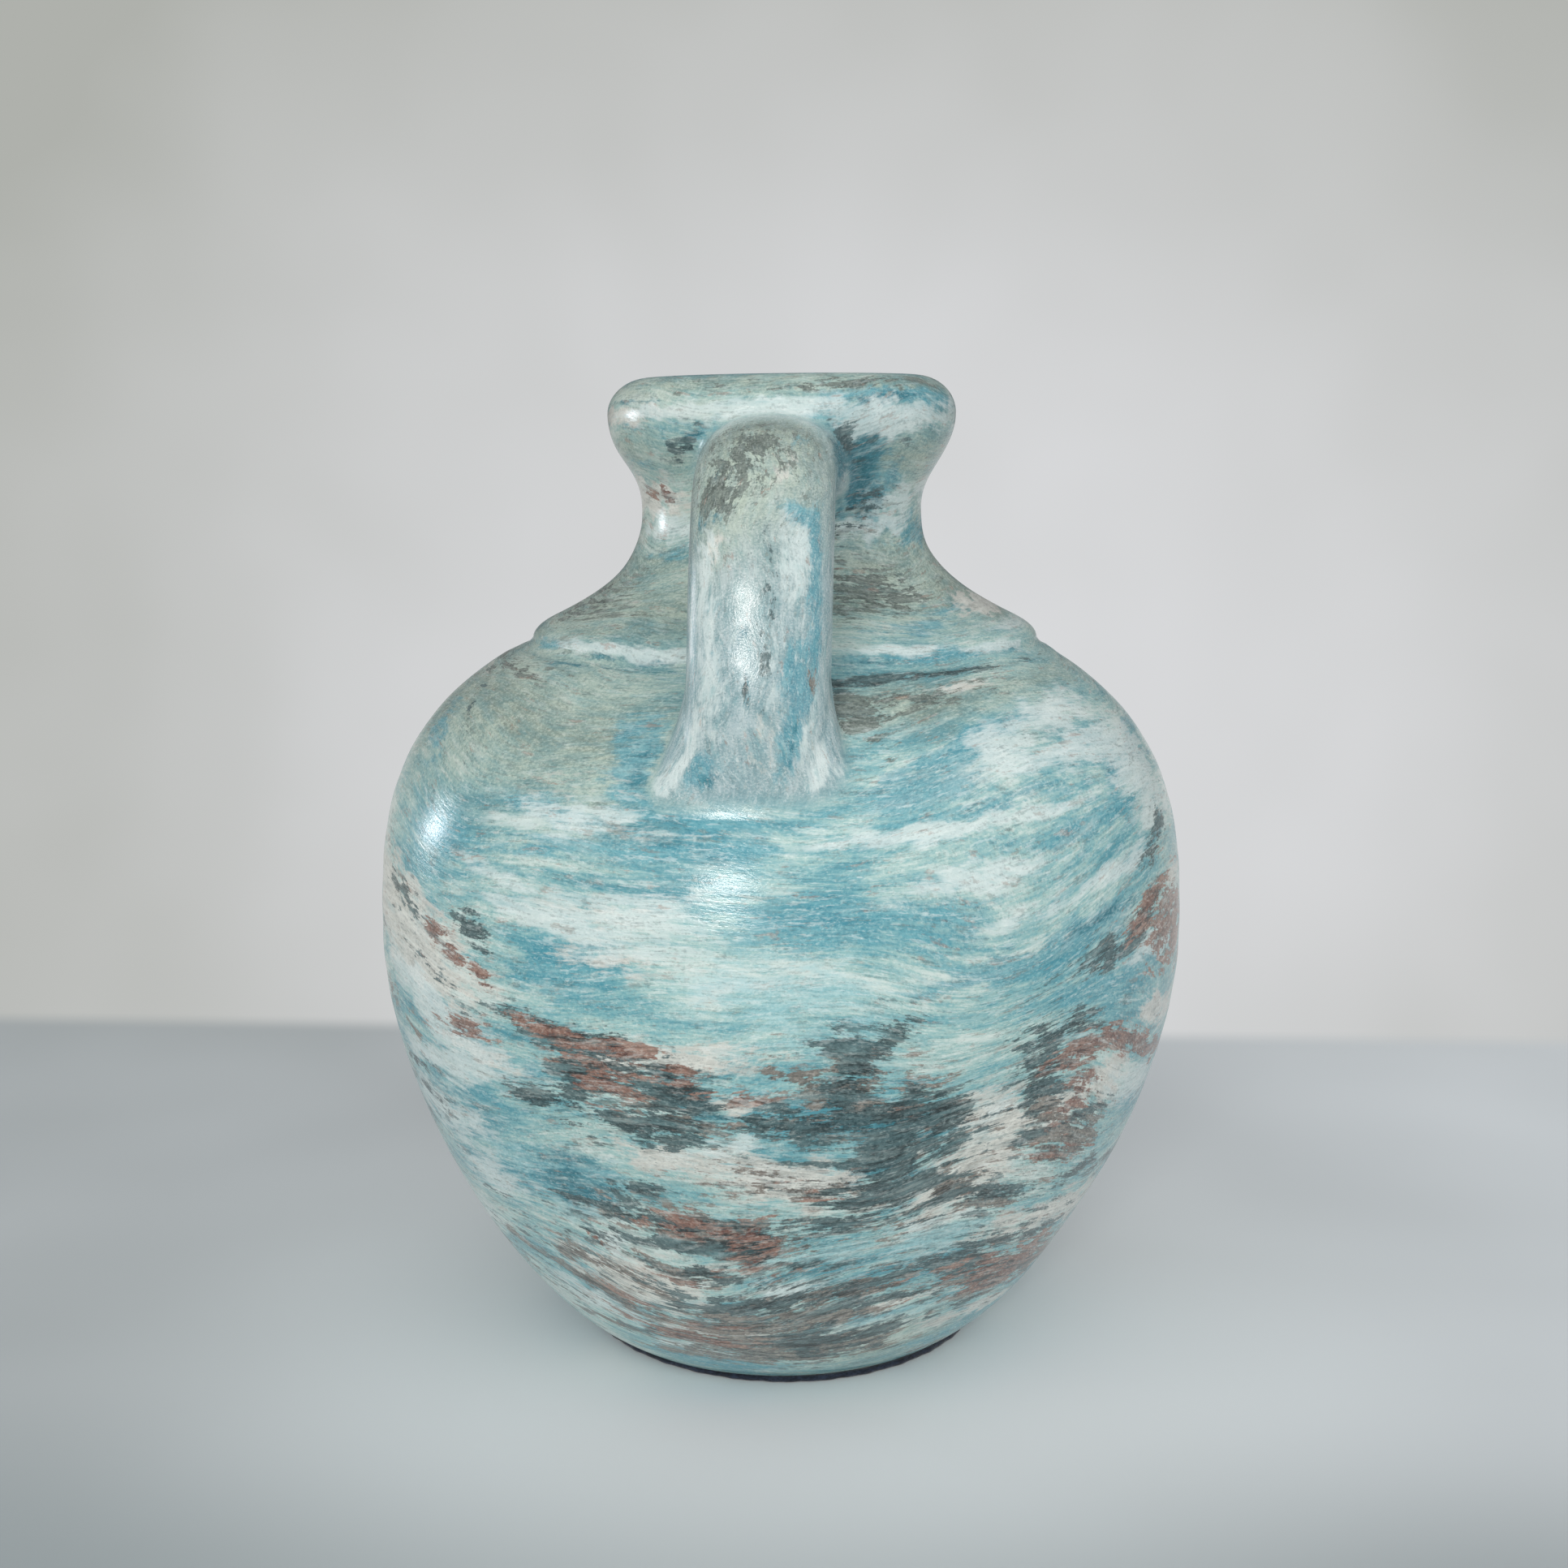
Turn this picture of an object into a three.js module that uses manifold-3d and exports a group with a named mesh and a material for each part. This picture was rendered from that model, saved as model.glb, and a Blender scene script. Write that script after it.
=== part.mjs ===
// A one-handled ceramic jug: a thrown body in two halves, a stepped shoulder collar, a waisted neck,
// a heavy rolled rim and a strap handle, standing on a thin sheet of felt.
// Millimetres, +Z up. The origin is the centre of the felt's underside and the handle points to -Y.

import * as THREE from "three";
import { mergeVertices } from "three/addons/utils/BufferGeometryUtils.js";
import Module from "manifold-3d";

// Felt sheet under the foot
const padThickness = 1.5;
const padRadius = 49.9;
const padWobble = 0.4;

// Body, from the foot to the seat of the collar. A curve length is how far the outline
// keeps its direction as it leaves the point that the length is named for.
const footRadius = 50.6;
const footSlope = 33;
const footCurveLength = 31;
const bellyRadius = 100;
const bellyHeight = 104;
const bellyCurveLengthBelow = 35;
const bellyCurveLengthAbove = 25;
const shoulderHeight = 68.2;
const shoulderSlope = 28.8;
const shoulderCurveLength = 37.5;
const wallThickness = 7;
const floorThickness = 8;
const floorCurveLength = 15;
const hollowCurveLength = 42;

// Shoulder collar, a stepped apron with a rounded edge
const collarSeatRadius = 66;
const collarCoveWidth = 3.6;
const collarCoveHeight = 2.8;
const collarCoveHollow = 2.7;
const collarEdgeHeight = 4.8;
const collarEdgeWidth = 5;
const collarHeight = 17.8;
const apronCurveLength = 20;

// Neck and its bore
const neckRadius = 34.3;
const boreRadius = 27.3;
const waistHeightAboveCollar = 16;
const waistHeightBelowRim = 11.5;
const waistCurveLength = 10.5;

// Rolled rim
const rimRadius = 42.6;
const rimSideHeight = 11.7;
const rimCrownHeight = 8.8;
const rimCurveLength = 10.4;
const lipRadius = 32.5;
const mouthRounding = 4.5;

// Strap handle: an oval section that widens where it grips the neck and the shoulder
const handleWidth = 30.4;
const handleThickness = 21;
const handleDepthBelowLip = 9.8;
const handleRiseHeight = 1.5;
const handleBendLength = 25.3;
const handleKnuckleInset = 8.1;
const handleKnuckleDrop = 5.6;
const handleBendDrop = 21.5;
const handleLeanLength = 4.6;
const handleFootDepthBelowSeat = 26.2;
const handleFootInsetLength = 1;
const upperRootLength = 12;
const upperRootWidth = 34;
const lowerRootLength = 28;
const lowerRootWidth = 66;
const lowerRootSwellWidth = 2;

// How finely the clay is drawn, and the slip-filled gap where one piece of clay meets another
const turns = 56;
const handleSides = 26;
const slipGap = 0.3;

// Levels above the ground, stacked from the pieces' own heights
const collarSeatLevel = bellyHeight + shoulderHeight;
const neckSeamLevel = collarSeatLevel + collarHeight;
const waistLevel = neckSeamLevel + waistHeightAboveCollar;
const rimSeamLevel = waistLevel + waistHeightBelowRim;
const rimLevel = rimSeamLevel + rimSideHeight;
const lipLevel = rimLevel + rimCrownHeight;

const rad = THREE.MathUtils.degToRad;
const at = (radius, height) => new THREE.Vector2(radius, height);
const wasm = await Module();
wasm.setup();

// Joins curves end to end into one list of [radius, height] points; each entry is [curve, steps].
function chain(...stretches) {
  const points = [];
  for (const [curve, steps] of stretches) {
    points.push(...curve.getPoints(steps).slice(points.length ? 1 : 0));
  }
  return points;
}

function curve(start, leave, arrive, end) {
  return new THREE.CubicBezierCurve(start, leave, arrive, end);
}

// A quarter of an ellipse between its side and its top, run through in either direction.
function roundOver(centre, halfWidth, halfHeight, startAngle, endAngle) {
  const clockwise = endAngle < startAngle;
  return new THREE.EllipseCurve(centre.x, centre.y, halfWidth, halfHeight, startAngle, endAngle, clockwise);
}

const slopeIn = Math.cos(rad(shoulderSlope));
const slopeUp = Math.sin(rad(shoulderSlope));
const bodyBase = padThickness;
const collarEdgeRadius = collarSeatRadius - collarCoveWidth;
const collarEdgeFoot = collarSeatLevel + collarCoveHeight;
const collarBrow = at(collarEdgeRadius - collarEdgeWidth, collarEdgeFoot + collarEdgeHeight);

// The outside of the jug, from the foot up to the crown of the lip.
function outsideProfile() {
  const foot = at(footRadius, bodyBase);
  const belly = at(bellyRadius, bellyHeight);
  const seat = at(collarSeatRadius, collarSeatLevel);
  const edge = at(collarEdgeRadius, collarEdgeFoot);
  const waist = at(neckRadius, waistLevel);
  const roll = at(rimRadius, rimLevel);
  const leaning = rad(footSlope);
  const lowerFlank = curve(
    foot,
    at(foot.x + footCurveLength * Math.cos(leaning), foot.y + footCurveLength * Math.sin(leaning)),
    at(belly.x, belly.y - bellyCurveLengthBelow),
    belly,
  );
  const shoulder = curve(
    belly,
    at(belly.x, belly.y + bellyCurveLengthAbove),
    at(seat.x + shoulderCurveLength * slopeIn, seat.y - shoulderCurveLength * slopeUp),
    seat,
  );
  const coveCorner = at(seat.x - collarCoveHollow, seat.y + collarCoveHeight / 3);
  const cove = new THREE.QuadraticBezierCurve(seat, coveCorner, edge);
  const edgeCorner = at(edge.x, collarBrow.y - collarEdgeHeight / 2);
  const bead = new THREE.QuadraticBezierCurve(edge, edgeCorner, collarBrow);
  const browSlope = collarBrow.clone().sub(edgeCorner).normalize();
  const apron = curve(
    collarBrow,
    collarBrow.clone().addScaledVector(browSlope, apronCurveLength),
    at(waist.x, waist.y - waistCurveLength),
    waist,
  );
  const flare = curve(
    waist,
    at(waist.x, waist.y + waistCurveLength),
    at(roll.x, roll.y - rimCurveLength),
    roll,
  );
  const crown = roundOver(
    at(lipRadius, rimLevel),
    rimRadius - lipRadius,
    rimCrownHeight,
    0,
    Math.PI / 2,
  );
  return chain([lowerFlank, 12], [shoulder, 10], [cove, 3], [bead, 5], [apron, 9], [flare, 8], [crown, 7]);
}

// The inside of the jug, from the edge of the floor up to the crown of the lip.
function insideProfile() {
  const floorEdge = at(footRadius - wallThickness, bodyBase + floorThickness);
  const belly = at(bellyRadius - wallThickness, bellyHeight);
  const seat = at(
    collarSeatRadius - wallThickness * slopeUp,
    collarSeatLevel - wallThickness * slopeIn,
  );
  const bore = at(boreRadius, waistLevel);
  const mouth = at(lipRadius - mouthRounding, lipLevel - mouthRounding);
  const lowerFlank = curve(
    floorEdge,
    at(floorEdge.x + floorCurveLength, floorEdge.y),
    at(belly.x, belly.y - hollowCurveLength),
    belly,
  );
  const shoulder = curve(
    belly,
    at(belly.x, belly.y + bellyCurveLengthAbove),
    at(seat.x + shoulderCurveLength * slopeIn, seat.y - shoulderCurveLength * slopeUp),
    seat,
  );
  const underNeck = (seat.x - bore.x) / 2;
  const throat = curve(
    seat,
    at(seat.x - underNeck * slopeIn, seat.y + underNeck * slopeUp),
    at(bore.x, bore.y - waistCurveLength),
    bore,
  );
  const bell = new THREE.LineCurve(bore, mouth);
  const mouthEdge = roundOver(
    at(lipRadius, mouth.y),
    mouthRounding,
    mouthRounding,
    Math.PI,
    Math.PI / 2,
  );
  return chain([lowerFlank, 8], [shoulder, 8], [throat, 8], [bell, 2], [mouthEdge, 4]);
}

const outside = outsideProfile();
const inside = insideProfile();

function radiusAt(profile, height) {
  const above = profile.findIndex((point) => point.y > height);
  if (above < 1) return profile.at(above).x;
  const low = profile[above - 1];
  const high = profile[above];
  return low.x + ((height - low.y) / (high.y - low.y)) * (high.x - low.x);
}

// The stretch of a profile between two heights, with a point of its own at each height.
function stretchOf(profile, low, high) {
  const hair = 0.05;
  const kept = profile.filter((point) => point.y > low + hair && point.y < high - hair);
  return [at(radiusAt(profile, low), low), ...kept, at(radiusAt(profile, high), high)];
}

// Turns an outline about the jug's upright axis.
function turned(outline) {
  return new THREE.LatheGeometry(outline, turns).rotateX(Math.PI / 2);
}

// A ring of clay between two level joints.
function turnedRing(low, high) {
  const outline = [...stretchOf(outside, low, high), ...stretchOf(inside, low, high).reverse()];
  return turned([...outline, outline[0].clone()]);
}

function lowerBodyGeometry() {
  const wall = stretchOf(outside, bodyBase, bellyHeight);
  const hollow = stretchOf(inside, bodyBase + floorThickness, bellyHeight).reverse();
  return turned([at(0, bodyBase), ...wall, ...hollow, at(0, bodyBase + floorThickness)]);
}

function rimGeometry() {
  const roll = outside.filter((point) => point.y > rimSeamLevel + slipGap);
  const mouth = inside.filter((point) => point.y > rimSeamLevel + slipGap).slice(0, -1).reverse();
  const outline = [
    at(radiusAt(outside, rimSeamLevel), rimSeamLevel),
    ...roll,
    ...mouth,
    at(radiusAt(inside, rimSeamLevel), rimSeamLevel),
  ];
  return turned([...outline, outline[0].clone()]);
}

// The felt is cut round the foot by hand, so its edge wanders a little.
function padGeometry() {
  const sheet = new THREE.Shape();
  for (let step = 0; step < turns; step += 1) {
    const angle = (step / turns) * 2 * Math.PI;
    const wander = Math.sin(3 * angle + 1) + Math.sin(5 * angle + 2.5);
    const radius = padRadius - padWobble + (padWobble / 2) * wander;
    const x = radius * Math.cos(angle);
    const y = radius * Math.sin(angle);
    if (step) sheet.lineTo(x, y);
    else sheet.moveTo(x, y);
  }
  return new THREE.ExtrudeGeometry(sheet, { depth: padThickness, bevelEnabled: false });
}

// The middle line of the handle, out of the neck, over, and down into the shoulder.
function handlePath() {
  const half = handleThickness / 2;
  const top = lipLevel - handleDepthBelowLip - half;
  const foot = collarSeatLevel - handleFootDepthBelowSeat;
  const footReach = radiusAt(outside, foot) - handleFootInsetLength - half;
  const reach = footReach - handleLeanLength;
  const rootTop = foot + lowerRootLength;
  const points = [
    [neckRadius - wallThickness / 2, top - handleRiseHeight],
    [reach - handleBendLength, top],
    [reach - handleKnuckleInset, top - handleKnuckleDrop],
    [reach, top - handleBendDrop],
    [(reach + footReach) / 2, (top - handleBendDrop + rootTop) / 2],
    [footReach, rootTop],
    [footReach, foot - half],
  ];
  return new THREE.CatmullRomCurve3(
    points.map(([out, up]) => new THREE.Vector3(0, -out, up)),
    false,
    "centripetal",
  );
}

const path = handlePath();
const pathLength = path.getLength();

const rootStart = wallThickness / 2;
const rootEnd = rootStart + upperRootLength;
const footStart = pathLength - handleThickness / 2 - lowerRootLength;

// How far a point along the handle is into its upper and lower root, from 0 to 1.
function rootShares(distance) {
  const upper = 1 - (distance - rootStart) / upperRootLength;
  const lower = (distance - footStart) / lowerRootLength;
  return [upper, lower].map((share) => THREE.MathUtils.clamp(share, 0, 1));
}

function halfWidthAt(distance) {
  const [upper, lower] = rootShares(distance);
  const upperFlare = (upperRootWidth - handleWidth) * upper ** 2;
  const lowerFlare = (lowerRootWidth - handleWidth) * lower ** 3;
  return (handleWidth + upperFlare + lowerFlare) / 2;
}

function halfThicknessAt(distance) {
  const [, lower] = rootShares(distance);
  return (handleThickness + lowerRootSwellWidth * lower ** 3) / 2;
}

// One oval ring of points square to the handle's middle line.
function handleRing(distance) {
  const centre = path.getPointAt(distance / pathLength);
  const along = path.getTangentAt(distance / pathLength);
  const across = new THREE.Vector3(1, 0, 0);
  const through = new THREE.Vector3().crossVectors(along, across);
  const ring = [];
  for (let side = 0; side < handleSides; side += 1) {
    const angle = (side / handleSides) * 2 * Math.PI;
    const wide = halfWidthAt(distance) * Math.cos(angle);
    const thick = halfThicknessAt(distance) * Math.sin(angle);
    ring.push(centre.clone().addScaledVector(across, wide).addScaledVector(through, thick));
  }
  return ring;
}

// A closed length of the handle between two distances along its middle line.
function handleStretch(from, to, steps) {
  const positions = [];
  const triangles = [];
  const corner = (step, side) => step * handleSides + (side % handleSides);
  for (let step = 0; step <= steps; step += 1) {
    const ring = handleRing(from + ((to - from) * step) / steps);
    for (const point of ring) positions.push(point.x, point.y, point.z);
  }
  for (let step = 0; step < steps; step += 1) {
    for (let side = 0; side < handleSides; side += 1) {
      const [a, b] = [corner(step, side), corner(step, side + 1)];
      const [c, d] = [corner(step + 1, side), corner(step + 1, side + 1)];
      triangles.push(a, b, c, b, d, c);
    }
  }
  for (let side = 1; side < handleSides - 1; side += 1) {
    triangles.push(corner(0, 0), corner(0, side + 1), corner(0, side));
    triangles.push(corner(steps, 0), corner(steps, side), corner(steps, side + 1));
  }
  const geometry = new THREE.BufferGeometry();
  geometry.setAttribute("position", new THREE.Float32BufferAttribute(positions, 3));
  geometry.setIndex(triangles);
  return geometry;
}

function solidOf(geometry) {
  const bare = geometry.clone();
  bare.deleteAttribute("normal");
  bare.deleteAttribute("uv");
  const merged = mergeVertices(bare, 1e-4);
  return new wasm.Manifold(
    new wasm.Mesh({
      numProp: 3,
      vertProperties: merged.attributes.position.array,
      triVerts: new Uint32Array(merged.index.array),
    }),
  );
}

function geometryOf(solid) {
  const mesh = solid.getMesh();
  const geometry = new THREE.BufferGeometry();
  geometry.setAttribute("position", new THREE.BufferAttribute(mesh.vertProperties, 3));
  geometry.setIndex(new THREE.BufferAttribute(mesh.triVerts, 1));
  geometry.computeVertexNormals();
  return geometry;
}

// Everything inside the jug's outer skin, grown by the slip gap, to fit the handle's roots against.
function skinCore() {
  const grown = outside.map((point, index) => {
    const before = outside[Math.max(0, index - 1)];
    const after = outside[Math.min(outside.length - 1, index + 1)];
    const along = after.clone().sub(before).normalize();
    return at(point.x + slipGap * along.y, point.y - slipGap * along.x);
  });
  return turned([at(0, grown[0].y), ...grown, at(0, grown.at(-1).y)]);
}

const core = solidOf(skinCore());

// A length of the handle, trimmed back to where it meets the jug's skin.
function handlePiece(from, to, steps) {
  const pieces = solidOf(handleStretch(from, to, steps)).subtract(core).decompose();
  const largest = pieces.reduce((best, piece) => (piece.volume() > best.volume() ? piece : best));
  return geometryOf(largest);
}

const finishes = {
  felt: { color: 0x14202c, roughness: 0.95, metalness: 0 },
  aqua: { color: 0x8fb9c3, roughness: 0.28, metalness: 0 },
  teal: { color: 0x7fa9b4, roughness: 0.3, metalness: 0 },
  mist: { color: 0xa4bcbb, roughness: 0.3, metalness: 0 },
  pearl: { color: 0xb4c6cb, roughness: 0.26, metalness: 0 },
};

const jug = new THREE.Group();

function place(name, geometry, finish) {
  const mesh = new THREE.Mesh(geometry, new THREE.MeshStandardMaterial(finishes[finish]));
  mesh.name = name;
  jug.add(mesh);
}

place("base_pad", padGeometry(), "felt");
place("lower_body", lowerBodyGeometry(), "teal");
place("upper_body", turnedRing(bellyHeight, collarSeatLevel), "aqua");
place("shoulder_collar", turnedRing(collarSeatLevel, neckSeamLevel), "mist");
place("neck", turnedRing(neckSeamLevel, rimSeamLevel), "aqua");
place("rim", rimGeometry(), "teal");
place("handle_upper_root", handlePiece(0, rootEnd, 8), "mist");
place("handle", handlePiece(rootEnd + slipGap, footStart - slipGap, 22), "pearl");
place("handle_lower_root", handlePiece(footStart, pathLength, 12), "pearl");

export default jug;
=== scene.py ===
# %% [markdown]
# # A brushed ceramic jug
# The jug is a thrown pot: a round belly, a stepped collar, a waisted neck with a heavy rim, and a
# strap handle pulled from a roll of clay and stuck on with slip. It stands on a thin sheet of felt.
# The packed solids fix every size, so they are loaded first and everything here is fitted to them.

import math

import bpy
import numpy as np
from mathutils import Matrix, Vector


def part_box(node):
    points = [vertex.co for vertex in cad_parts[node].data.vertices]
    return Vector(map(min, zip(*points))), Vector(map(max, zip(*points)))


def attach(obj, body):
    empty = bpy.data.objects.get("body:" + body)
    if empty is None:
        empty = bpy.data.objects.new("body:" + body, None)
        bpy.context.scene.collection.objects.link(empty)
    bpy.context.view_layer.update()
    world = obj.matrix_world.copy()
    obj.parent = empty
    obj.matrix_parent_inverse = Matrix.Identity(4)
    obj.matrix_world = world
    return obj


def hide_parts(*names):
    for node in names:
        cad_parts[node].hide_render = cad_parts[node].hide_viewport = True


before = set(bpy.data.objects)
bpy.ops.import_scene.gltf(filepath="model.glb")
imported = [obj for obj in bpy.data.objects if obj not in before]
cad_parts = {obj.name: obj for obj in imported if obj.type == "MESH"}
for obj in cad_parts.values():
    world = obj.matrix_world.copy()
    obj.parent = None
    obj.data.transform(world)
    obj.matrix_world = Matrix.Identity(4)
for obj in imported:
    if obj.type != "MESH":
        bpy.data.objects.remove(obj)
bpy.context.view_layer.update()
mm = 0.001

# %% [markdown]
# ## Camera
# The view is level with the handle's top and slightly to its right, looking down a little. Azimuths
# in this file are degrees round the jug from the handle, positive towards +X. The camera could be
# aimed with a constraint, but three plain angles say exactly where it looks.

# %% Place the camera
camera_distance = 485.8
camera_height = 225.5
camera_azimuth = 3.0
camera_pitch = 10.334
camera_yaw = 0.084
lens_length = 44.72


def around(azimuth, distance, height):
    """A point in metres, from an azimuth in degrees and a distance and height in millimetres."""
    turn = math.radians(azimuth)
    return Vector((distance * math.sin(turn), -distance * math.cos(turn), height)) * mm


camera_data = bpy.data.cameras.new("camera")
camera_data.lens = lens_length
camera_data.clip_start = 0.01
camera = bpy.data.objects.new("camera", camera_data)
camera.location = around(camera_azimuth, camera_distance, camera_height)
camera.rotation_euler = (
    math.radians(90 - camera_pitch),
    0,
    math.radians(camera_azimuth - camera_yaw),
)
bpy.context.scene.collection.objects.link(camera)
bpy.context.scene.camera = camera
bpy.context.scene.view_settings.view_transform = "Standard"
print("camera at", [round(c / mm) for c in camera.location], "mm")

# %% [markdown]
# ## Shader maths as Python
# A procedural finish is arithmetic on patterns. Wiring each Math node by hand hides the sum, so a
# small class wraps a socket and lets Python's own operators add the nodes.


# %% Wrap a socket
class Wire:
    """A shader socket that can be added, multiplied and compared like a number."""

    def __init__(self, tree, socket):
        self.tree = tree
        self.socket = socket

    def node(self, kind, settings=None, out=0, **inputs):
        """Adds a node: its settings first, then values or wires for its named sockets."""
        made = self.tree.nodes.new(kind)
        for name, value in (settings or {}).items():
            if name == "stops":
                set_stops(made.color_ramp, value)
            else:
                setattr(made, name, value)
        for name, value in inputs.items():
            socket = made.inputs[int(name[1:])] if name[1:].isdigit() else made.inputs[name]
            if isinstance(value, Wire):
                self.tree.links.new(value.socket, socket)
            else:
                socket.default_value = value
        return Wire(self.tree, made.outputs[out])

    def maths(self, operation, a, b):
        """A sum of two values or wires, by the name of a Math node's operation."""
        return self.node("ShaderNodeMath", {"operation": operation}, _0=a, _1=b)

    def __add__(self, other):
        return self.maths("ADD", self, other)

    def __radd__(self, other):
        return self.maths("ADD", other, self)

    def __sub__(self, other):
        return self.maths("SUBTRACT", self, other)

    def __rsub__(self, other):
        return self.maths("SUBTRACT", other, self)

    def __mul__(self, other):
        return self.maths("MULTIPLY", self, other)

    def __rmul__(self, other):
        return self.maths("MULTIPLY", other, self)

    def __truediv__(self, other):
        return self.maths("DIVIDE", self, other)

    def __pow__(self, other):
        return self.maths("POWER", self, other)

    def above(self, low, high):
        """0 below low, 1 above high, and a smooth step between."""
        settings = {"interpolation_type": "SMOOTHSTEP"}
        return self.node(
            "ShaderNodeMapRange", settings, **{"Value": self, "From Min": low, "From Max": high}
        )

    def scaled(self, x, y, z):
        """A vector wire with each of its parts multiplied."""
        return self.node("ShaderNodeVectorMath", {"operation": "MULTIPLY"}, _0=self, _1=(x, y, z))

    def shifted(self, x, y, z):
        """A vector wire moved by a step."""
        return self.node("ShaderNodeVectorMath", {"operation": "ADD"}, _0=self, _1=(x, y, z))

    def noise(self, detail=3.0, roughness=0.55, out=0):
        """Noise of scale 1 read at this vector wire: output 1 is three noises in one vector."""
        return self.node(
            "ShaderNodeTexNoise",
            out=out,
            Vector=self,
            Scale=1.0,
            Detail=detail,
            Roughness=roughness,
        )


def set_stops(ramp, stops):
    """Fills a colour ramp from a list of (place, colour)."""
    while len(ramp.elements) < len(stops):
        ramp.elements.new(1.0)
    for element, (place, colour) in zip(ramp.elements, stops):
        element.position = place
        element.color = colour


print("a wire knows", [name for name in vars(Wire) if "_" not in name])


# %% Name colours and start materials
def paint(code):
    """A colour, written as six hexadecimal digits as a screen shows it, in linear light."""
    shown = [int(code[i : i + 2], 16) / 255 for i in (0, 2, 4)]
    linear = [c / 12.92 if c <= 0.04045 else ((c + 0.055) / 1.055) ** 2.4 for c in shown]
    return (*linear, 1.0)


def new_material(name):
    """A material, a wire to start sums from, and its Principled shader."""
    material = bpy.data.materials.new(name)
    material.use_nodes = True
    shader = material.node_tree.nodes["Principled BSDF"]
    return material, Wire(material.node_tree, None), shader


def feed(shader, socket, value):
    """Links a wire to one of the shader's sockets."""
    value.tree.links.new(value.socket, shader.inputs[socket])


print("one screen grey is", [round(c, 3) for c in paint("808080")[:3]], "in linear light")

# %% [markdown]
# ## Stage
# A plain table with a paler wall tone behind it. Light and shade are painted into the table's colour:
# it is lighter to the right, darker in front, and pale in a pool of painted light round the jug. A
# real wall would hide the jug in views from the back, so the table is one large sheet whose colour
# turns to the wall's tone past a soft line. That far part glows only where the camera sees it,
# straight or in gloss, which keeps it even and adds no light to the jug. The photo's wall is brightest
# behind the jug and falls off towards the corners, so its tone is worked out from the direction in
# which the first camera sees it.

# %% Work out the wall's tone
wall_dim, wall_bright = paint("AFB1AC"), paint("D9DADC")
wall_glow_side, wall_glow_height = 0.025, -0.15
wall_fall_aside, wall_fall_up = 3.4, 4.8
wall_fill = 0.97
cloud_count, cloud_share = 6, 0.5
SEEN_RAYS = ("Is Camera Ray", "Is Glossy Ray", "Is Transmission Ray")


def mixed(share, low, high):
    """A colour between two, each a colour or a wire."""
    settings = {"data_type": "RGBA"}
    return share.node("ShaderNodeMix", settings, out=2, _0=share, _6=low, _7=high)


def parts_of(way):
    """The three numbers of a vector wire."""
    return [way.node("ShaderNodeSeparateXYZ", out=i, Vector=way) for i in range(3)]


def wall_tone(way):
    """The wall's tone along a way from the camera, which need not be of unit length."""
    x, y, z = parts_of(way)
    flat = (x * x + y * y) ** 0.5
    aside = x / flat - wall_glow_side
    higher = z / flat - wall_glow_height
    spot = [part / flat * cloud_count for part in (x, y, z)]
    cloud = way.node("ShaderNodeCombineXYZ", _0=spot[0], _1=spot[1], _2=spot[2]).noise(2.0)
    share = wall_fill - aside * aside * wall_fall_aside - higher * higher * wall_fall_up
    return mixed(share + (cloud - 0.5) * cloud_share, wall_dim, wall_bright)


def seen(start):
    """1 for rays from the camera, by gloss or through glass, else 0."""
    path = start.tree.nodes.new("ShaderNodeLightPath")
    first, second, third = (Wire(start.tree, path.outputs[name]) for name in SEEN_RAYS)
    return first.maths("MAXIMUM", first.maths("MAXIMUM", first, second), third)


print("in linear light the wall goes from", round(wall_dim[1], 2), "to", round(wall_bright[1], 2))

# %% Lay the table
table_half_width = 6.0
wall_line, wall_blur = 0.227, 0.011
# Painted light and shade: the table is darker on the left, lighter on the right, darker in front, and
# paler in a pool of light round the jug.
table_shaded_left, table_lit_right = paint("A6ABAC"), paint("D6DADD")
table_light_pool, table_front_shade = paint("F4F8F9"), paint("949C9E")
drift_count, drift_share = 5, 0.8
front_shade_start, front_shade_end, front_shade_share = 0.05, 0.15, 0.85
pool_start, pool_end, pool_share = 0.06, 0.2, 0.5
table_roughness, table_gloss = 0.6, 0.25

table_material, start, table_shader = new_material("table")
place = start.node("ShaderNodeNewGeometry")
across, back, _ = parts_of(place)
drift = place.scaled(drift_count, drift_count, drift_count).noise(2.0, 0.5)
lit_and_shaded_cloth = mixed(across.above(-0.5, 0.5) + (drift - 0.5) * drift_share, table_shaded_left, table_lit_right)
front_shade = (0 - back).above(front_shade_start, front_shade_end)
lit_and_shaded_cloth = mixed(front_shade * front_shade_share, lit_and_shaded_cloth, table_front_shade)
# A pool of painted light round the jug's foot.
light_pool = 1 - ((across * across + back * back) ** 0.5).above(pool_start, pool_end)
feed(table_shader, "Base Color", mixed(light_pool * pool_share, lit_and_shaded_cloth, table_light_pool))
table_shader.inputs["Roughness"].default_value = table_roughness
table_shader.inputs["Specular IOR Level"].default_value = table_gloss
from_camera = place.shifted(*(-c for c in camera.location))
glow = start.node("ShaderNodeEmission", Color=wall_tone(from_camera), Strength=seen(start))
beyond = back.above(wall_line - wall_blur, wall_line + wall_blur)
lit = Wire(start.tree, table_shader.outputs[0])
both = start.node("ShaderNodeMixShader", _0=beyond, _1=lit, _2=glow)
out = table_material.node_tree.nodes["Material Output"]
start.tree.links.new(both.socket, out.inputs["Surface"])

table_mesh = bpy.data.meshes.new("table")
w = table_half_width
table_mesh.from_pydata([(-w, -w, 0), (w, -w, 0), (w, w, 0), (-w, w, 0)], [], [(0, 1, 2, 3)])
table = bpy.data.objects.new("table", table_mesh)
table_mesh.materials.append(table_material)
bpy.context.scene.collection.objects.link(table)
print("table", 2 * table_half_width, "m wide, wall tone past", wall_line, "m")

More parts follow.
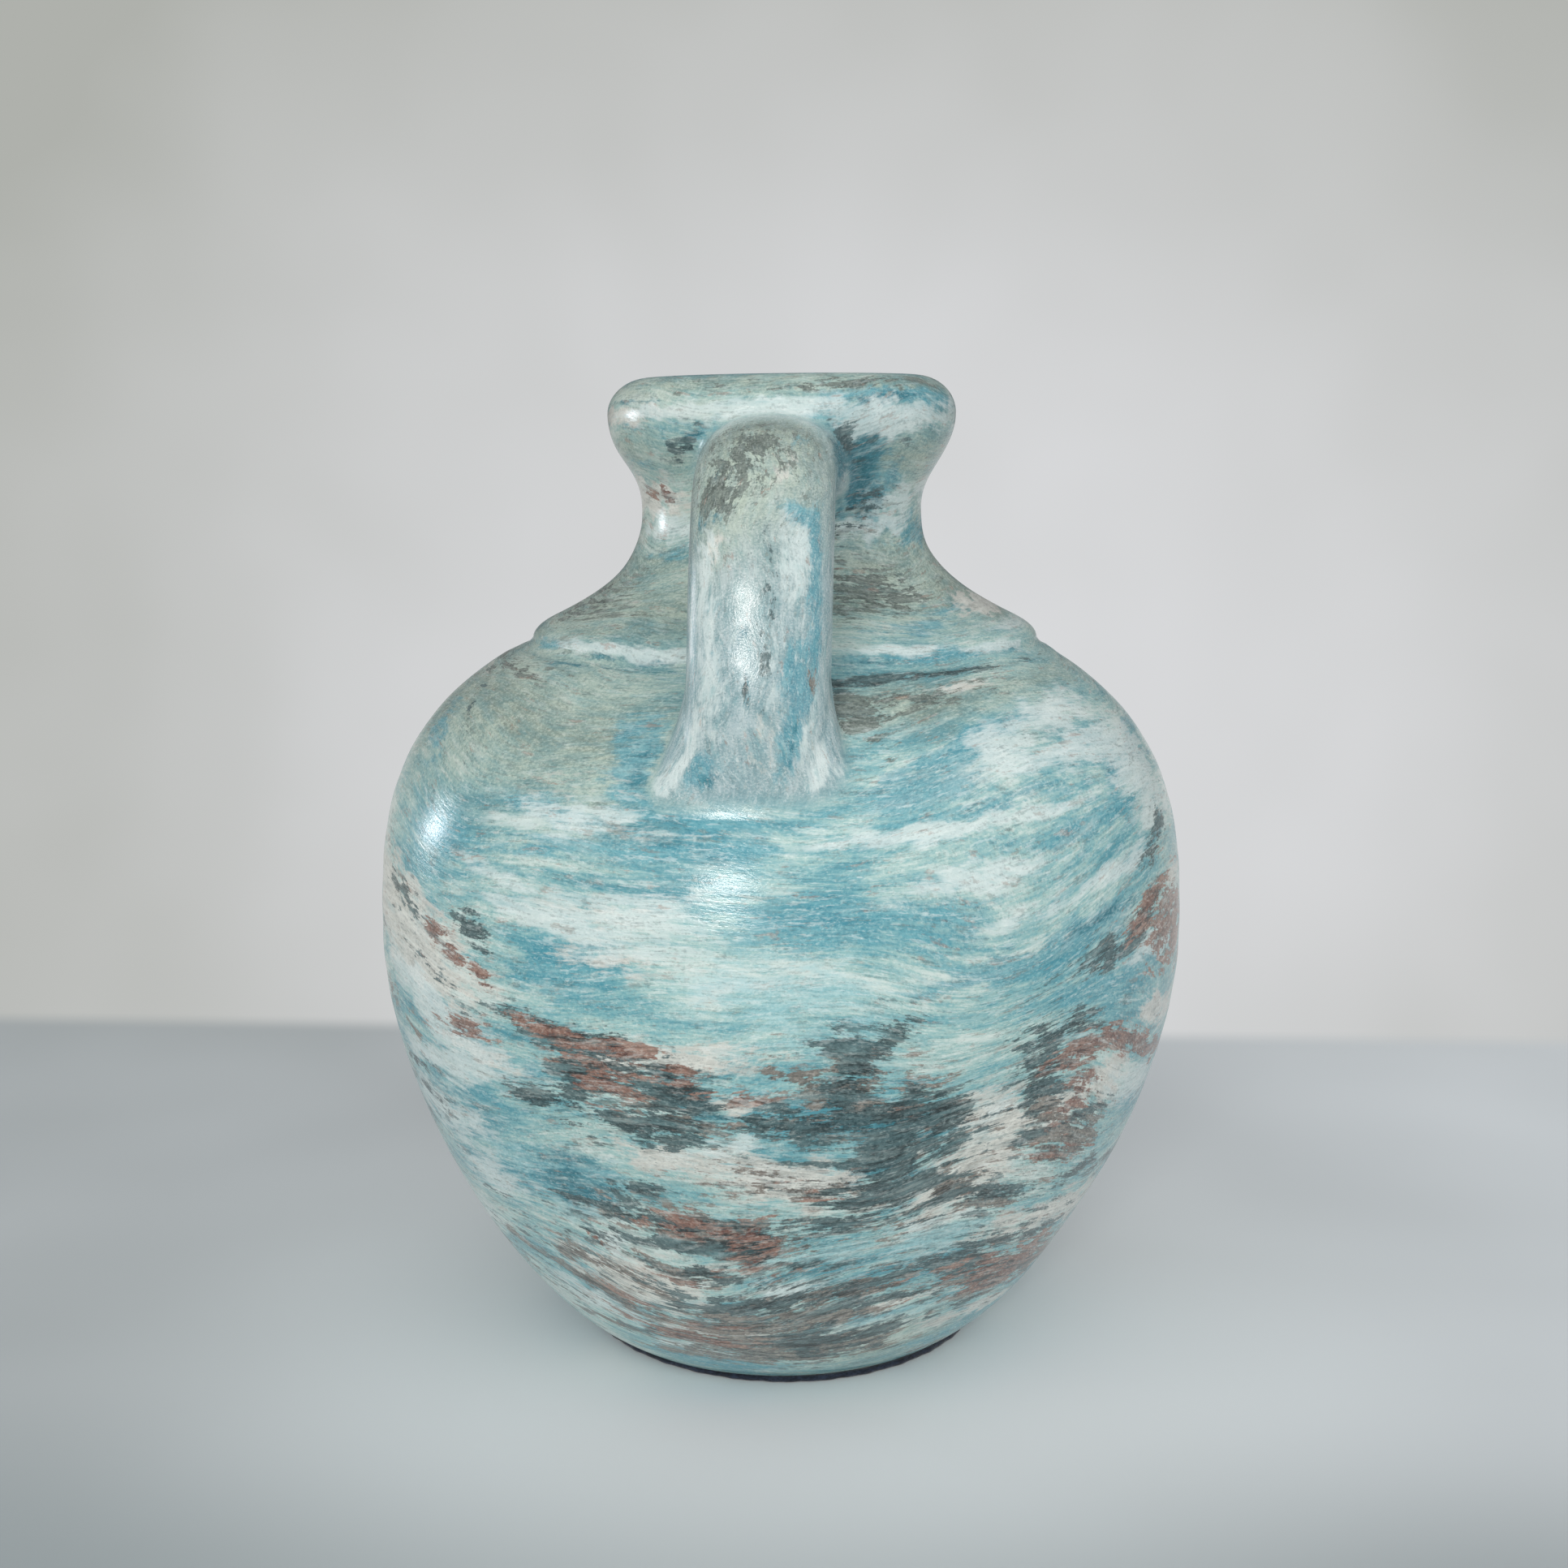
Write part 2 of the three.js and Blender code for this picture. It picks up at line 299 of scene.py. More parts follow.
# %% [markdown]
# ## Room light
# The photo was taken by soft light from all round, stronger from the camera's side and from the
# right. The world gives that light. The camera itself sees the wall's tone in it, and gloss sees
# it weaker, so that the varnish doesn't look milky.

# %% Light the room
front_light, back_light, gloss_share = 1.48, 0.42, 0.42
light_back, light_side, light_up = -0.85, 0.28, 0.32

world = bpy.data.worlds.new("studio")
world.use_nodes = True
bpy.context.scene.world = world
sky = Wire(world.node_tree, None)
way = sky.node("ShaderNodeTexCoord")
side, back, up = parts_of(way)
path = world.node_tree.nodes.new("ShaderNodeLightPath")
camera_ray = Wire(world.node_tree, path.outputs["Is Camera Ray"])
gloss_ray = Wire(world.node_tree, path.outputs["Is Glossy Ray"])
background = world.node_tree.nodes["Background"]
room_tone = mixed(camera_ray, paint("F2F4F5"), wall_tone(way))
world.node_tree.links.new(room_tone.socket, background.inputs["Color"])
facing = (back * light_back + side * light_side + up * light_up).above(-0.5, 1.0)
dome = (facing * (front_light - back_light) + back_light) * (1 - gloss_ray * (1 - gloss_share))
strength = dome + camera_ray * (1 - dome)
world.node_tree.links.new(strength.socket, background.inputs["Strength"])
print("the room's light runs from", back_light, "behind to", front_light, "in front")

# %% [markdown]
# ## Lights
# Two small soft boxes make the two bright spots that the varnish shows: one in front, slightly to
# the left and higher than the jug, and one on the left, slightly behind and level with the rim. A
# bare lamp would give hard sparks, and a broad one would spread a pale haze over the paint.


# %% Hang the lights
lamp_aim = Vector((0, 0, 0.12))


def soft_box(name, azimuth, elevation, distance, width, height, watts, colour):
    """A rectangular lamp aimed at the jug's middle."""
    data = bpy.data.lights.new(name, "AREA")
    data.shape = "RECTANGLE"
    data.size = width
    data.size_y = height
    data.energy = watts
    data.color = colour[:3]
    lamp = bpy.data.objects.new(name, data)
    rise = math.radians(elevation)
    turn = math.radians(azimuth)
    away = Vector((math.sin(turn) * math.cos(rise), -math.cos(turn) * math.cos(rise), math.sin(rise)))
    lamp.location = lamp_aim + away * distance
    lamp.rotation_euler = away.to_track_quat("Z", "Y").to_euler()
    bpy.context.scene.collection.objects.link(lamp)
    return lamp


soft_box("key", -12, 12, 1.6, 0.3, 0.15, 8, paint("FFFDF8"))
soft_box("window", -110, 5, 1.5, 0.12, 0.22, 2.2, paint("F2F8FF"))

# %% [markdown]
# ## Sizes
# The pot's levels and radii are read from the solids themselves: the widest ring of the belly, the
# seat of the collar, the narrowest ring of the neck, and so on. Only the pull of each curve between
# them is written here.


# %% Read the levels and radii
level_tolerance = 0.05
thinnest_wall = 1


def solid_points(node):
    """The corners of a packed solid, in millimetres."""
    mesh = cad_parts[node].data
    places = np.empty(3 * len(mesh.vertices))
    mesh.vertices.foreach_get("co", places)
    return places.reshape(-1, 3) / mm


def ring(node, level, pick=np.max):
    """The outermost radius, or another pick, of a solid's corners at one level."""
    places = solid_points(node)
    here = np.abs(places[:, 2] - level) < level_tolerance
    return float(pick(np.hypot(places[here, 0], places[here, 1])))


def level_of(node, end):
    """The lowest (0) or highest (1) level of a solid."""
    return float(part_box(node)[end][2]) / mm


def waist_of(node):
    """The narrowest outer ring of a solid, as (radius, level), where both its walls have corners."""
    levels = np.unique(np.round(solid_points(node)[:, 2], 2))
    walled = [v for v in levels if ring(node, v) - ring(node, v, np.min) > thinnest_wall]
    return min((ring(node, level), float(level)) for level in walled)


foot_level = level_of("lower_body", 0)
belly_level = level_of("lower_body", 1)
seat_level = level_of("shoulder_collar", 0)
neck_level = level_of("neck", 0)
rim_seam_level = level_of("rim", 0)
lip_level = level_of("rim", 1)
foot_radius = ring("lower_body", foot_level)
belly_radius = ring("lower_body", belly_level)
seat_radius = ring("upper_body", seat_level)
waist_radius, waist_level = waist_of("neck")
lip_radius = ring("rim", lip_level)
rim_points = solid_points("rim")
widest = np.argmax(np.hypot(rim_points[:, 0], rim_points[:, 1]))
rim_radius = float(np.hypot(*rim_points[widest, :2]))
rim_level = float(rim_points[widest, 2])
bore_radius = ring("neck", waist_level, np.min)
hollow_radius = ring("lower_body", belly_level, np.min)
print("levels", [round(v, 1) for v in (foot_level, belly_level, seat_level, waist_level, lip_level)])
print("radii", [round(v, 1) for v in (foot_radius, belly_radius, seat_radius, waist_radius)])

# %% [markdown]
# ## Outline
# The half outline of the pot is drawn once, as curves joined end to end, outside from the foot to
# the crown and inside from the crown to the floor.

# %% Name the pulls of the curves
foot_slope = 33
foot_pull = 31
belly_pull_below = 35
belly_pull_above = 25
shoulder_slope = 28.8
shoulder_pull = 37.5
cove_width, cove_height, cove_hollow = 3.6, 2.8, 2.7
edge_width, edge_height = 5.0, 4.8
apron_pull = 20
waist_pull = 10.5
rim_pull = 10.4
mouth_rounding = 4.5
floor_thickness, floor_inset, floor_centre = 8, 7, 3
floor_level = foot_level + floor_thickness
floor_radius = foot_radius - floor_inset
floor_pull = 15
hollow_pull = 42
rounding_points = 15


def at(radius, level):
    """A point of the outline."""
    return np.array([radius, level], float)


def towards(slope, length):
    """A step of some length, up a slope in degrees."""
    turn = math.radians(slope)
    return length * np.array([math.cos(turn), math.sin(turn)])


def bend(start, leave, arrive, end, rows):
    """A cubic curve from start to end, pulled towards two points."""
    t = np.linspace(0, 1, rows + 1)[:, None]
    s = 1 - t
    return s**3 * start + 3 * s * s * t * leave + 3 * s * t * t * arrive + t**3 * end


def turn_corner(start, corner, end, rows):
    """A curve that rounds one corner."""
    return bend(start, start + (corner - start) * 2 / 3, end + (corner - end) * 2 / 3, end, rows)


def joined(*stretches):
    """One list of points from stretches that share their ends."""
    return np.concatenate([stretches[0]] + [stretch[1:] for stretch in stretches[1:]])


print("a floor", floor_thickness, "mm thick, out to", round(floor_radius, 1), "mm")

# %% Draw the outside
foot = at(foot_radius, foot_level)
belly = at(belly_radius, belly_level)
seat = at(seat_radius, seat_level)
edge = seat + at(-cove_width, cove_height)
brow = edge + at(-edge_width, edge_height)
edge_corner = edge + at(0, edge_height / 2)
brow_slope = (brow - edge_corner) / np.linalg.norm(brow - edge_corner)
waist = at(waist_radius, waist_level)
roll = at(rim_radius, rim_level)
quarter = np.linspace(0, math.pi / 2, rounding_points)
crown = np.stack(
    [
        lip_radius + (rim_radius - lip_radius) * np.cos(quarter),
        rim_level + (lip_level - rim_level) * np.sin(quarter),
    ],
    axis=1,
)
outside = joined(
    bend(foot, foot + towards(foot_slope, foot_pull), belly - at(0, belly_pull_below), belly, 88),
    bend(
        belly,
        belly + at(0, belly_pull_above),
        seat + towards(-shoulder_slope, shoulder_pull),
        seat,
        60,
    ),
    turn_corner(seat, at(seat_radius - cove_hollow, seat_level + cove_height / 3), edge, 5),
    turn_corner(edge, edge_corner, brow, 8),
    bend(brow, brow + apron_pull * brow_slope, waist - at(0, waist_pull), waist, 30),
    bend(waist, waist + at(0, waist_pull), roll - at(0, rim_pull), roll, 24),
    crown,
)
print("outside, the foot to the crown in", len(outside), "rows")

# %% Draw the inside and join them
mouth = at(lip_radius - mouth_rounding, lip_level - mouth_rounding)
mouth_edge = mouth + mouth_rounding * np.stack([1 - np.sin(quarter), np.cos(quarter)], axis=1)
bore = at(bore_radius, waist_level)
wall = belly_radius - hollow_radius
throat = seat - wall * towards(90 - shoulder_slope, 1)
hollow = at(hollow_radius, belly_level)
floor_edge = at(floor_radius, floor_level)
under_neck = (throat[0] - bore_radius) / 2
inside = joined(
    mouth_edge,
    np.linspace(mouth, bore, 12),
    bend(
        bore,
        bore - at(0, waist_pull),
        throat + towards(180 - shoulder_slope, under_neck),
        throat,
        14,
    ),
    bend(
        throat,
        throat + towards(-shoulder_slope, shoulder_pull),
        hollow + at(0, belly_pull_above),
        hollow,
        20,
    ),
    bend(hollow, hollow - at(0, hollow_pull), floor_edge + at(floor_pull, 0), floor_edge, 28),
    np.linspace(floor_edge, at(floor_centre, floor_level), 8),
)
outline = joined(outside, inside)
steps = np.hypot(*np.diff(outline, axis=0).T)
arc = np.concatenate([[0], np.cumsum(steps)])
print("outline", round(arc[-1], 1), "mm long, in", len(outline), "rows")


# %% [markdown]
# ## The wheel
# Turning the outline gives a perfect pot. A hand-thrown one swells and dips by a few tenths of a
# millimetre, its lip tilts, its collar sits a millimetre off the middle, and its side is flattened
# near the foot. So every point of clay goes through one function that bends the space it is in.
# Body and handle bend together, so the handle stays stuck on.

# %% Let the hand show
lip_tilt = 0.012
collar_shift = 1.0
shift_start, shift_full, shift_fade, shift_end = 168, 174, 182, 200
shift_reach, shift_limit = 67, 70
sway, dip = 0.22, 0.14
ring_height, ring_spacing = 0.05, 1.9
rings_start, rings_full = 60, 90
still_foot = 30
still_radius = 5
# Each flattened place: its depth, its azimuth and spread in degrees, its level and its reach.
flats = [(-1.3, 88, 34, 30, 16), (-0.7, -84, 30, 14, 12)]


def smooth(value, low, high):
    """0 below low, 1 above high, and a smooth step between."""
    t = np.clip((value - low) / (high - low), 0, 1)
    return t * t * (3 - 2 * t)


def swell(azimuth, level, centre, spread, middle, reach):
    """A soft lump centred at an azimuth in degrees and a level."""
    turn = np.degrees(np.angle(np.exp(1j * (azimuth - math.radians(centre)))))
    return np.exp(-((turn / spread) ** 2) - ((level - middle) / reach) ** 2)


def hand_made(places, ringed=True):
    """Moves points of the perfect pot to where the potter's hands left them."""
    x, y, z = np.moveaxis(places, -1, 0)
    radius = np.hypot(x, y)
    azimuth = np.arctan2(x, -y)
    up_body = smooth(z, foot_level, foot_level + still_foot)
    wave = sway * np.sin(2 * azimuth + 0.6) * np.sin(z / 17) + dip * np.sin(3 * azimuth + z / 23)
    rings = ring_height * ringed * np.sin(z / ring_spacing + np.sin(azimuth))
    rings = rings * smooth(z, rings_start, rings_full)
    flat = sum(depth * swell(azimuth, z, *place) for depth, *place in flats)
    push = (wave + rings) * up_body + flat
    grip = np.divide(push, radius, out=np.zeros_like(push), where=radius > still_radius)
    shift = collar_shift * smooth(z, shift_start, shift_full) * smooth(-z, -shift_end, -shift_fade)
    shift = shift * smooth(-radius, -shift_limit, -shift_reach)
    rise = lip_tilt * x * smooth(z, waist_level, rim_level)
    return np.stack([x * (1 + grip) + shift, y * (1 + grip), z + rise], axis=-1)


belly_front = np.array([0, -belly_radius, belly_level])
hand_moves = np.linalg.norm(hand_made(belly_front) - belly_front)
print("the hand moves the belly's front by", round(float(hand_moves), 2), "mm")

# %% Turn the outline
turns = 400


def turned(outline):
    """The grid of points [row, turn] that an outline sweeps round the axis."""
    azimuth = np.linspace(0, 2 * math.pi, turns, endpoint=False)
    radius, level = outline[:, :1], outline[:, 1:]
    level = np.repeat(level, turns, axis=1)
    return np.stack([radius * np.sin(azimuth), -radius * np.cos(azimuth), level], axis=-1)


def normals_of(grid):
    """The way out of the clay at each point of a grid whose rows close on themselves."""
    sideways = np.roll(grid, -1, axis=1) - np.roll(grid, 1, axis=1)
    onwards = np.gradient(grid, axis=0)
    out = np.cross(sideways, onwards)
    return out / np.linalg.norm(out, axis=-1, keepdims=True)


pot_true = turned(outline)
pot = hand_made(pot_true)
pot_normals = normals_of(pot)
print("turned", pot.shape[0], "rows of", turns, "points")

# %% [markdown]
# ## Where the brush went
# The whole pot is painted by hand. One list for each part of it says what went where, as a painter
# would tell it: the paint, its place as an azimuth in degrees and a level in millimetres, how long
# and how broad the mark is, how it tilts, and how heavily it was laid. Some marks also stand in for
# light and shade: the grey and dark grey on upward-facing tops and the collar's sides are painted
# shade, dark lines in the crease under the collar and strokes beside the handle are painted shade
# and shadow, and some whites on edges are painted highlights. The marks only say where a paint lies:
# the bristle lines and ragged edges come later, from the finish.

# %% List the scattered marks and the rim's
scattered_marks = [
    ("grey", 0, 205, 300, 90, 0, 0.3),
    ("slate", 0, 36, 260, 50, 0, 0.2),
    ("cream", 10, 44, 260, 50, 0, 0.24),
    ("brown", 14, 60, 90, 60, 0, 0.22),
]
rim_marks = [
    # The grey and dark grey round the rim's upward-facing top are paint that also stands in for painted
    # shade there.
    ("grey", -50, 235.5, 50, 7, 0, 0.8),
    ("grey", 0, 236, 50, 7, 0, 0.9),
    ("grey", 50, 236, 50, 6, 0, 0.8),
    ("soot", 14, 235.5, 60, 5, 0, 0.6),
    # The teal and slate just right of the handle's top are paint that also stands in for the handle's
    # shadow on the neck.
    ("blue", 30, 214, 22, 22, -20, 1.0),
    ("teal", 25, 220, 12, 16, -20, 1.0),
    ("slate", 22, 222, 8, 10, 0, 0.9),
    ("teal", -50, 232, 40, 1.6, 0, 0.6),
    ("cream", -60, 229, 34, 5, 2, 0.9),
    ("white", -38, 229.5, 44, 4, 1, 1.0),
    ("blue", -48, 227, 24, 3, 1, 0.7),
    ("blue", -22, 225, 20, 7, 4, 0.8),
    ("white", -14, 228, 14, 3, 4, 0.6),
    ("white", 3, 230.5, 24, 5, 2, 1.0),
    ("white", 6, 229.5, 14, 4, 0, 1.0),
    ("blue", 24, 229, 20, 8, 0, 0.95),
    ("blue", 44, 233, 36, 4, 0, 1.0),
    ("teal", 34, 231.5, 20, 3, 3, 0.8),
    ("teal", 44, 233, 20, 1.8, 0, 0.6),
    # These two whites on the rim's right are paint that also stands in for a painted highlight.
    ("white", 40, 227.5, 34, 9, 2, 1.0),
    ("white", 38, 227, 26, 5, 2, 1.0),
    ("blue", 50, 229.5, 26, 2, 2, 0.7),
    ("blue", 62, 231, 20, 3, 0, 0.6),
    ("white", 76, 230, 18, 9, 0, 0.7),
    # The next three marks, right of the handle's top, are partly painted shadow of the handle.
    ("teal", 27, 221, 18, 9, -20, 1.0),
    ("teal", 33, 212, 16, 8, -50, 1.0),
    ("slate", 22, 223, 8, 4, -30, 0.7),
    ("slate", -30, 222, 9, 4, 35, 0.85),
    ("teal", -27, 224, 10, 3, 15, 0.7),
    ("grey", -60, 221, 30, 9, 0, 0.7),
    ("blue", -58, 218, 24, 3, 0, 0.5),
    ("grey", 55, 219, 34, 9, 0, 0.8),
    ("slate", 50, 222, 26, 2, 2, 0.4),
]
print(len(scattered_marks), "scattered marks and", len(rim_marks), "on the rim")

# %% List the neck's marks
neck_marks = [
    ("cream", -58, 210, 34, 10, 0, 1.0),
    ("rust", -58, 211, 18, 4, -2, 0.5),
    ("rust", -48, 210, 5, 4, 30, 0.85),
    ("white", -48, 202, 26, 8, 0, 0.98),
    ("grey", -38, 208, 14, 6, 20, 0.5),
    ("blue", 35, 213, 18, 8, -8, 1.0),
    # These two teal strokes right of the handle are paint that also stands in for the handle's shadow on
    # the neck.
    ("teal", 30, 216, 16, 10, -40, 0.9),
    ("teal", 27, 213, 9, 8, -30, 0.6),
    ("white", 44, 203, 30, 6, 4, 0.85),
    ("white", 62, 210, 30, 8, 3, 0.8),
    # This slate stroke beside the handle is partly painted shadow.
    ("slate", 24, 202, 10, 5, 12, 0.7),
    ("slate", 33, 207, 16, 3, 12, 0.6),
    ("slate", 42, 211, 16, 2, 10, 0.6),
    ("blue", 72, 201, 30, 8, 0, 0.6),
    ("blue", -45, 196, 30, 3, 0, 0.6),
    ("grey", -50, 194, 36, 6, 0, 0.7),
    ("grey", 45, 195, 40, 8, 2, 0.95),
]
print(len(neck_marks), "marks on the neck")

# %% List the collar's marks
collar_marks = [
    # The grey and dark grey on the upward-facing collar are paint that also stands in for shade: its top
    # faces and its sides are painted darker.
    ("grey", -68, 184, 40, 24, 0, 1.0),
    ("soot", -66, 184, 34, 18, 0, 0.5),
    ("grey", -45, 184, 40, 20, 0, 0.95),
    ("grey", -22, 186, 26, 18, 0, 0.9),
    ("cream", -50, 186, 20, 3, 0, 0.4),
    ("blue", -38, 181, 36, 3, 2, 0.6),
    ("soot", 27, 190, 30, 16, 10, 0.6),
    ("grey", 32, 188, 50, 20, 4, 1.0),
    ("grey", 62, 189, 40, 14, 3, 0.95),
    ("soot", 38, 187, 40, 8, 8, 0.5),
    ("blue", 36, 181, 40, 7, 5, 0.75),
    ("blue", 52, 184, 22, 5, 8, 0.5),
    ("cream", 74, 184, 34, 8, 2, 0.9),
    ("grey", 76, 182, 20, 5, 2, 0.6),
    # The whites at levels 175 to 180 lie on the collar's rounded lip and are paint that also stands in
    # for a painted highlight along it.
    ("white", 70, 179.5, 30, 5, 0, 0.85),
    ("white", -36, 176.5, 50, 4, 0, 0.95),
    ("white", -18, 175.5, 18, 3, 0, 0.8),
    # Teal and slate lines at levels 171 to 175 lie in the crease under the lip and are painted shade.
    ("teal", -30, 174.5, 40, 2.5, 0, 0.75),
    ("blue", -62, 175.5, 24, 4, 0, 0.7),
    ("grey", -70, 177, 20, 4, 0, 0.6),
    ("blue", 38, 175.8, 46, 4, 0, 0.85),
    ("white", 28, 177.2, 30, 3.4, 0, 0.95),
    ("white", 55, 176.2, 26, 3, 0, 0.95),
    ("teal", 20, 174.6, 20, 2.4, 0, 0.8),
    ("teal", -40, 172.6, 80, 2, 0, 0.6),
    ("slate", 34, 172.3, 60, 2, 0, 0.9),
    ("slate", 16, 171, 26, 4, 0, 0.8),
]
print(len(collar_marks), "marks on the collar")

# %% List the shoulder's marks
shoulder_marks = [
    # The grey and dark grey on the shoulder's upward-facing slope are paint that also stands in for
    # painted shade, darkest just under the collar.
    ("grey", -66, 165, 60, 34, 0, 1.0),
    ("grey", -42, 162, 70, 36, 0, 1.0),
    ("grey", -25, 158, 40, 34, 0, 0.9),
    ("soot", -62, 170, 44, 6, 0, 0.5),
    ("cream", -74, 168, 20, 7, 0, 0.5),
    ("blue", -66, 156, 30, 12, -38, 0.75),
    ("slate", -62, 163, 30, 1.8, -40, 0.6),
    ("cream", -24, 150, 36, 12, 4, 0.4),
    ("blue", -18, 157, 16, 26, 0, 1.0),
    ("teal", -16, 155, 10, 16, 0, 0.6),
    ("blue", -31, 146, 34, 6, -3, 0.8),
    ("white", -25, 144, 40, 10, 3, 0.85),
    # These two dark grey strokes beside the handle's foot are painted shadow of the handle.
    ("soot", 17, 164, 14, 18, 0, 0.6),
    ("soot", 13, 168, 8, 12, 0, 0.6),
    ("grey", 26, 167, 50, 14, 3, 1.0),
    ("soot", 28, 168, 40, 6, 3, 0.55),
    ("cream", 36, 169.5, 24, 4, 4, 0.8),
    ("grey", 58, 169, 50, 8, 0, 0.8),
    ("blue", 28, 157, 50, 7, 20, 0.95),
    ("blue", 22, 151, 34, 9, 10, 0.95),
    ("blue", 36, 161, 30, 4, 16, 0.8),
    ("white", 36, 157, 20, 11, 14, 1.0),
    ("white", 54, 163, 38, 12, 8, 1.0),
    ("white", 62, 155, 40, 10, 8, 0.9),
    ("grey", 48, 160, 30, 5, 8, 0.4),
    ("white", 68, 148, 30, 18, 8, 1.0),
    ("blue", 60, 149, 18, 8, 12, 1.0),
    ("blue", 36, 148, 56, 6, 8, 0.8),
    ("white", 46, 155, 40, 5, 8, 0.9),
    ("blue", 78, 156, 30, 5, 6, 0.5),
    ("white", 22, 143, 56, 5, 5, 0.95),
    ("blue", 48, 140, 60, 7, 6, 0.9),
    ("white", 44, 145, 40, 3, 6, 0.9),
    ("blue", -7, 148, 34, 8, 0, 0.8),
]
print(len(shoulder_marks), "marks on the shoulder")

# %% List the belly's marks
belly_marks = [
    ("mist", 4, 111, 56, 24, 0, 0.75),
    ("blue", -49, 135, 46, 14, -4, 0.8),
    ("blue", -8, 141, 40, 10, 0, 1.0),
    ("teal", -12, 143, 30, 5, 2, 0.6),
    ("teal", -5, 138, 18, 4, 0, 0.5),
    ("blue", -26, 139, 40, 6, 2, 0.8),
    ("white", -30, 124, 36, 4, -8, 0.95),
    ("white", -14, 127, 48, 13, 2, 0.75),
    ("cream", -20, 126, 34, 9, 2, 0.6),
    ("white", -17, 119, 34, 10, -5, 0.65),
    ("cream", -18, 117, 30, 8, -5, 0.6),
    ("white", -36, 131, 36, 4, -10, 0.8),
    ("blue", -27, 113, 32, 14, -8, 0.95),
    ("blue", 9, 126, 50, 13, 5, 1.0),
    ("white", -2, 113, 24, 5, 4, 0.7),
    ("white", 4, 103, 70, 12, 2, 0.35),
    ("cream", -8, 97, 50, 9, 0, 0.75),
    ("white", 30, 133, 48, 9, 4, 0.85),
    ("blue", 24, 122, 26, 14, 10, 0.7),
    ("white", 33, 123, 22, 4, 8, 0.85),
    ("blue", 45, 119, 50, 8, 8, 1.0),
    ("blue", 40, 113, 40, 6, 8, 0.8),
    ("teal", 48, 120, 34, 4, 8, 0.7),
    ("blue", 30, 112, 50, 5, 6, 0.7),
    ("white", 52, 129, 44, 5, 8, 0.9),
    ("white", 66, 138, 34, 8, 8, 0.9),
    ("slate", 65, 132, 22, 7, 22, 0.75),
    ("teal", 68, 134, 18, 6, 20, 0.8),
    ("blue", 47, 105, 46, 10, 0, 0.7),
    ("white", 62, 109, 30, 10, 6, 0.9),
    ("slate", 50, 112, 30, 6, 12, 0.85),
    ("slate", 57, 116, 22, 5, 26, 0.7),
    ("rust", 59, 119, 20, 6, 22, 0.95),
    ("rust", 70, 111, 30, 20, -8, 1.0),
    ("cream", 72, 122, 26, 6, 8, 0.8),
    ("cream", -54, 111, 64, 22, -16, 1.0),
    ("cream", -64, 116, 52, 20, -10, 1.0),
    ("white", -54, 101, 60, 8, -14, 1.0),
    ("white", -48, 93, 50, 8, -14, 0.8),
    ("slate", -59, 121, 26, 6, -16, 0.7),
    ("slate", -39, 118, 18, 6, -34, 0.75),
    ("rust", -48, 115, 8, 4, -25, 0.9),
    ("rust", -44, 112, 9, 4, -25, 0.9),
    ("rust", -38, 108, 10, 4, -28, 0.9),
    ("slate", -52, 108, 34, 3, -22, 0.7),
    ("slate", -72, 110, 24, 5, -10, 0.5),
]
print(len(belly_marks), "marks on the belly")

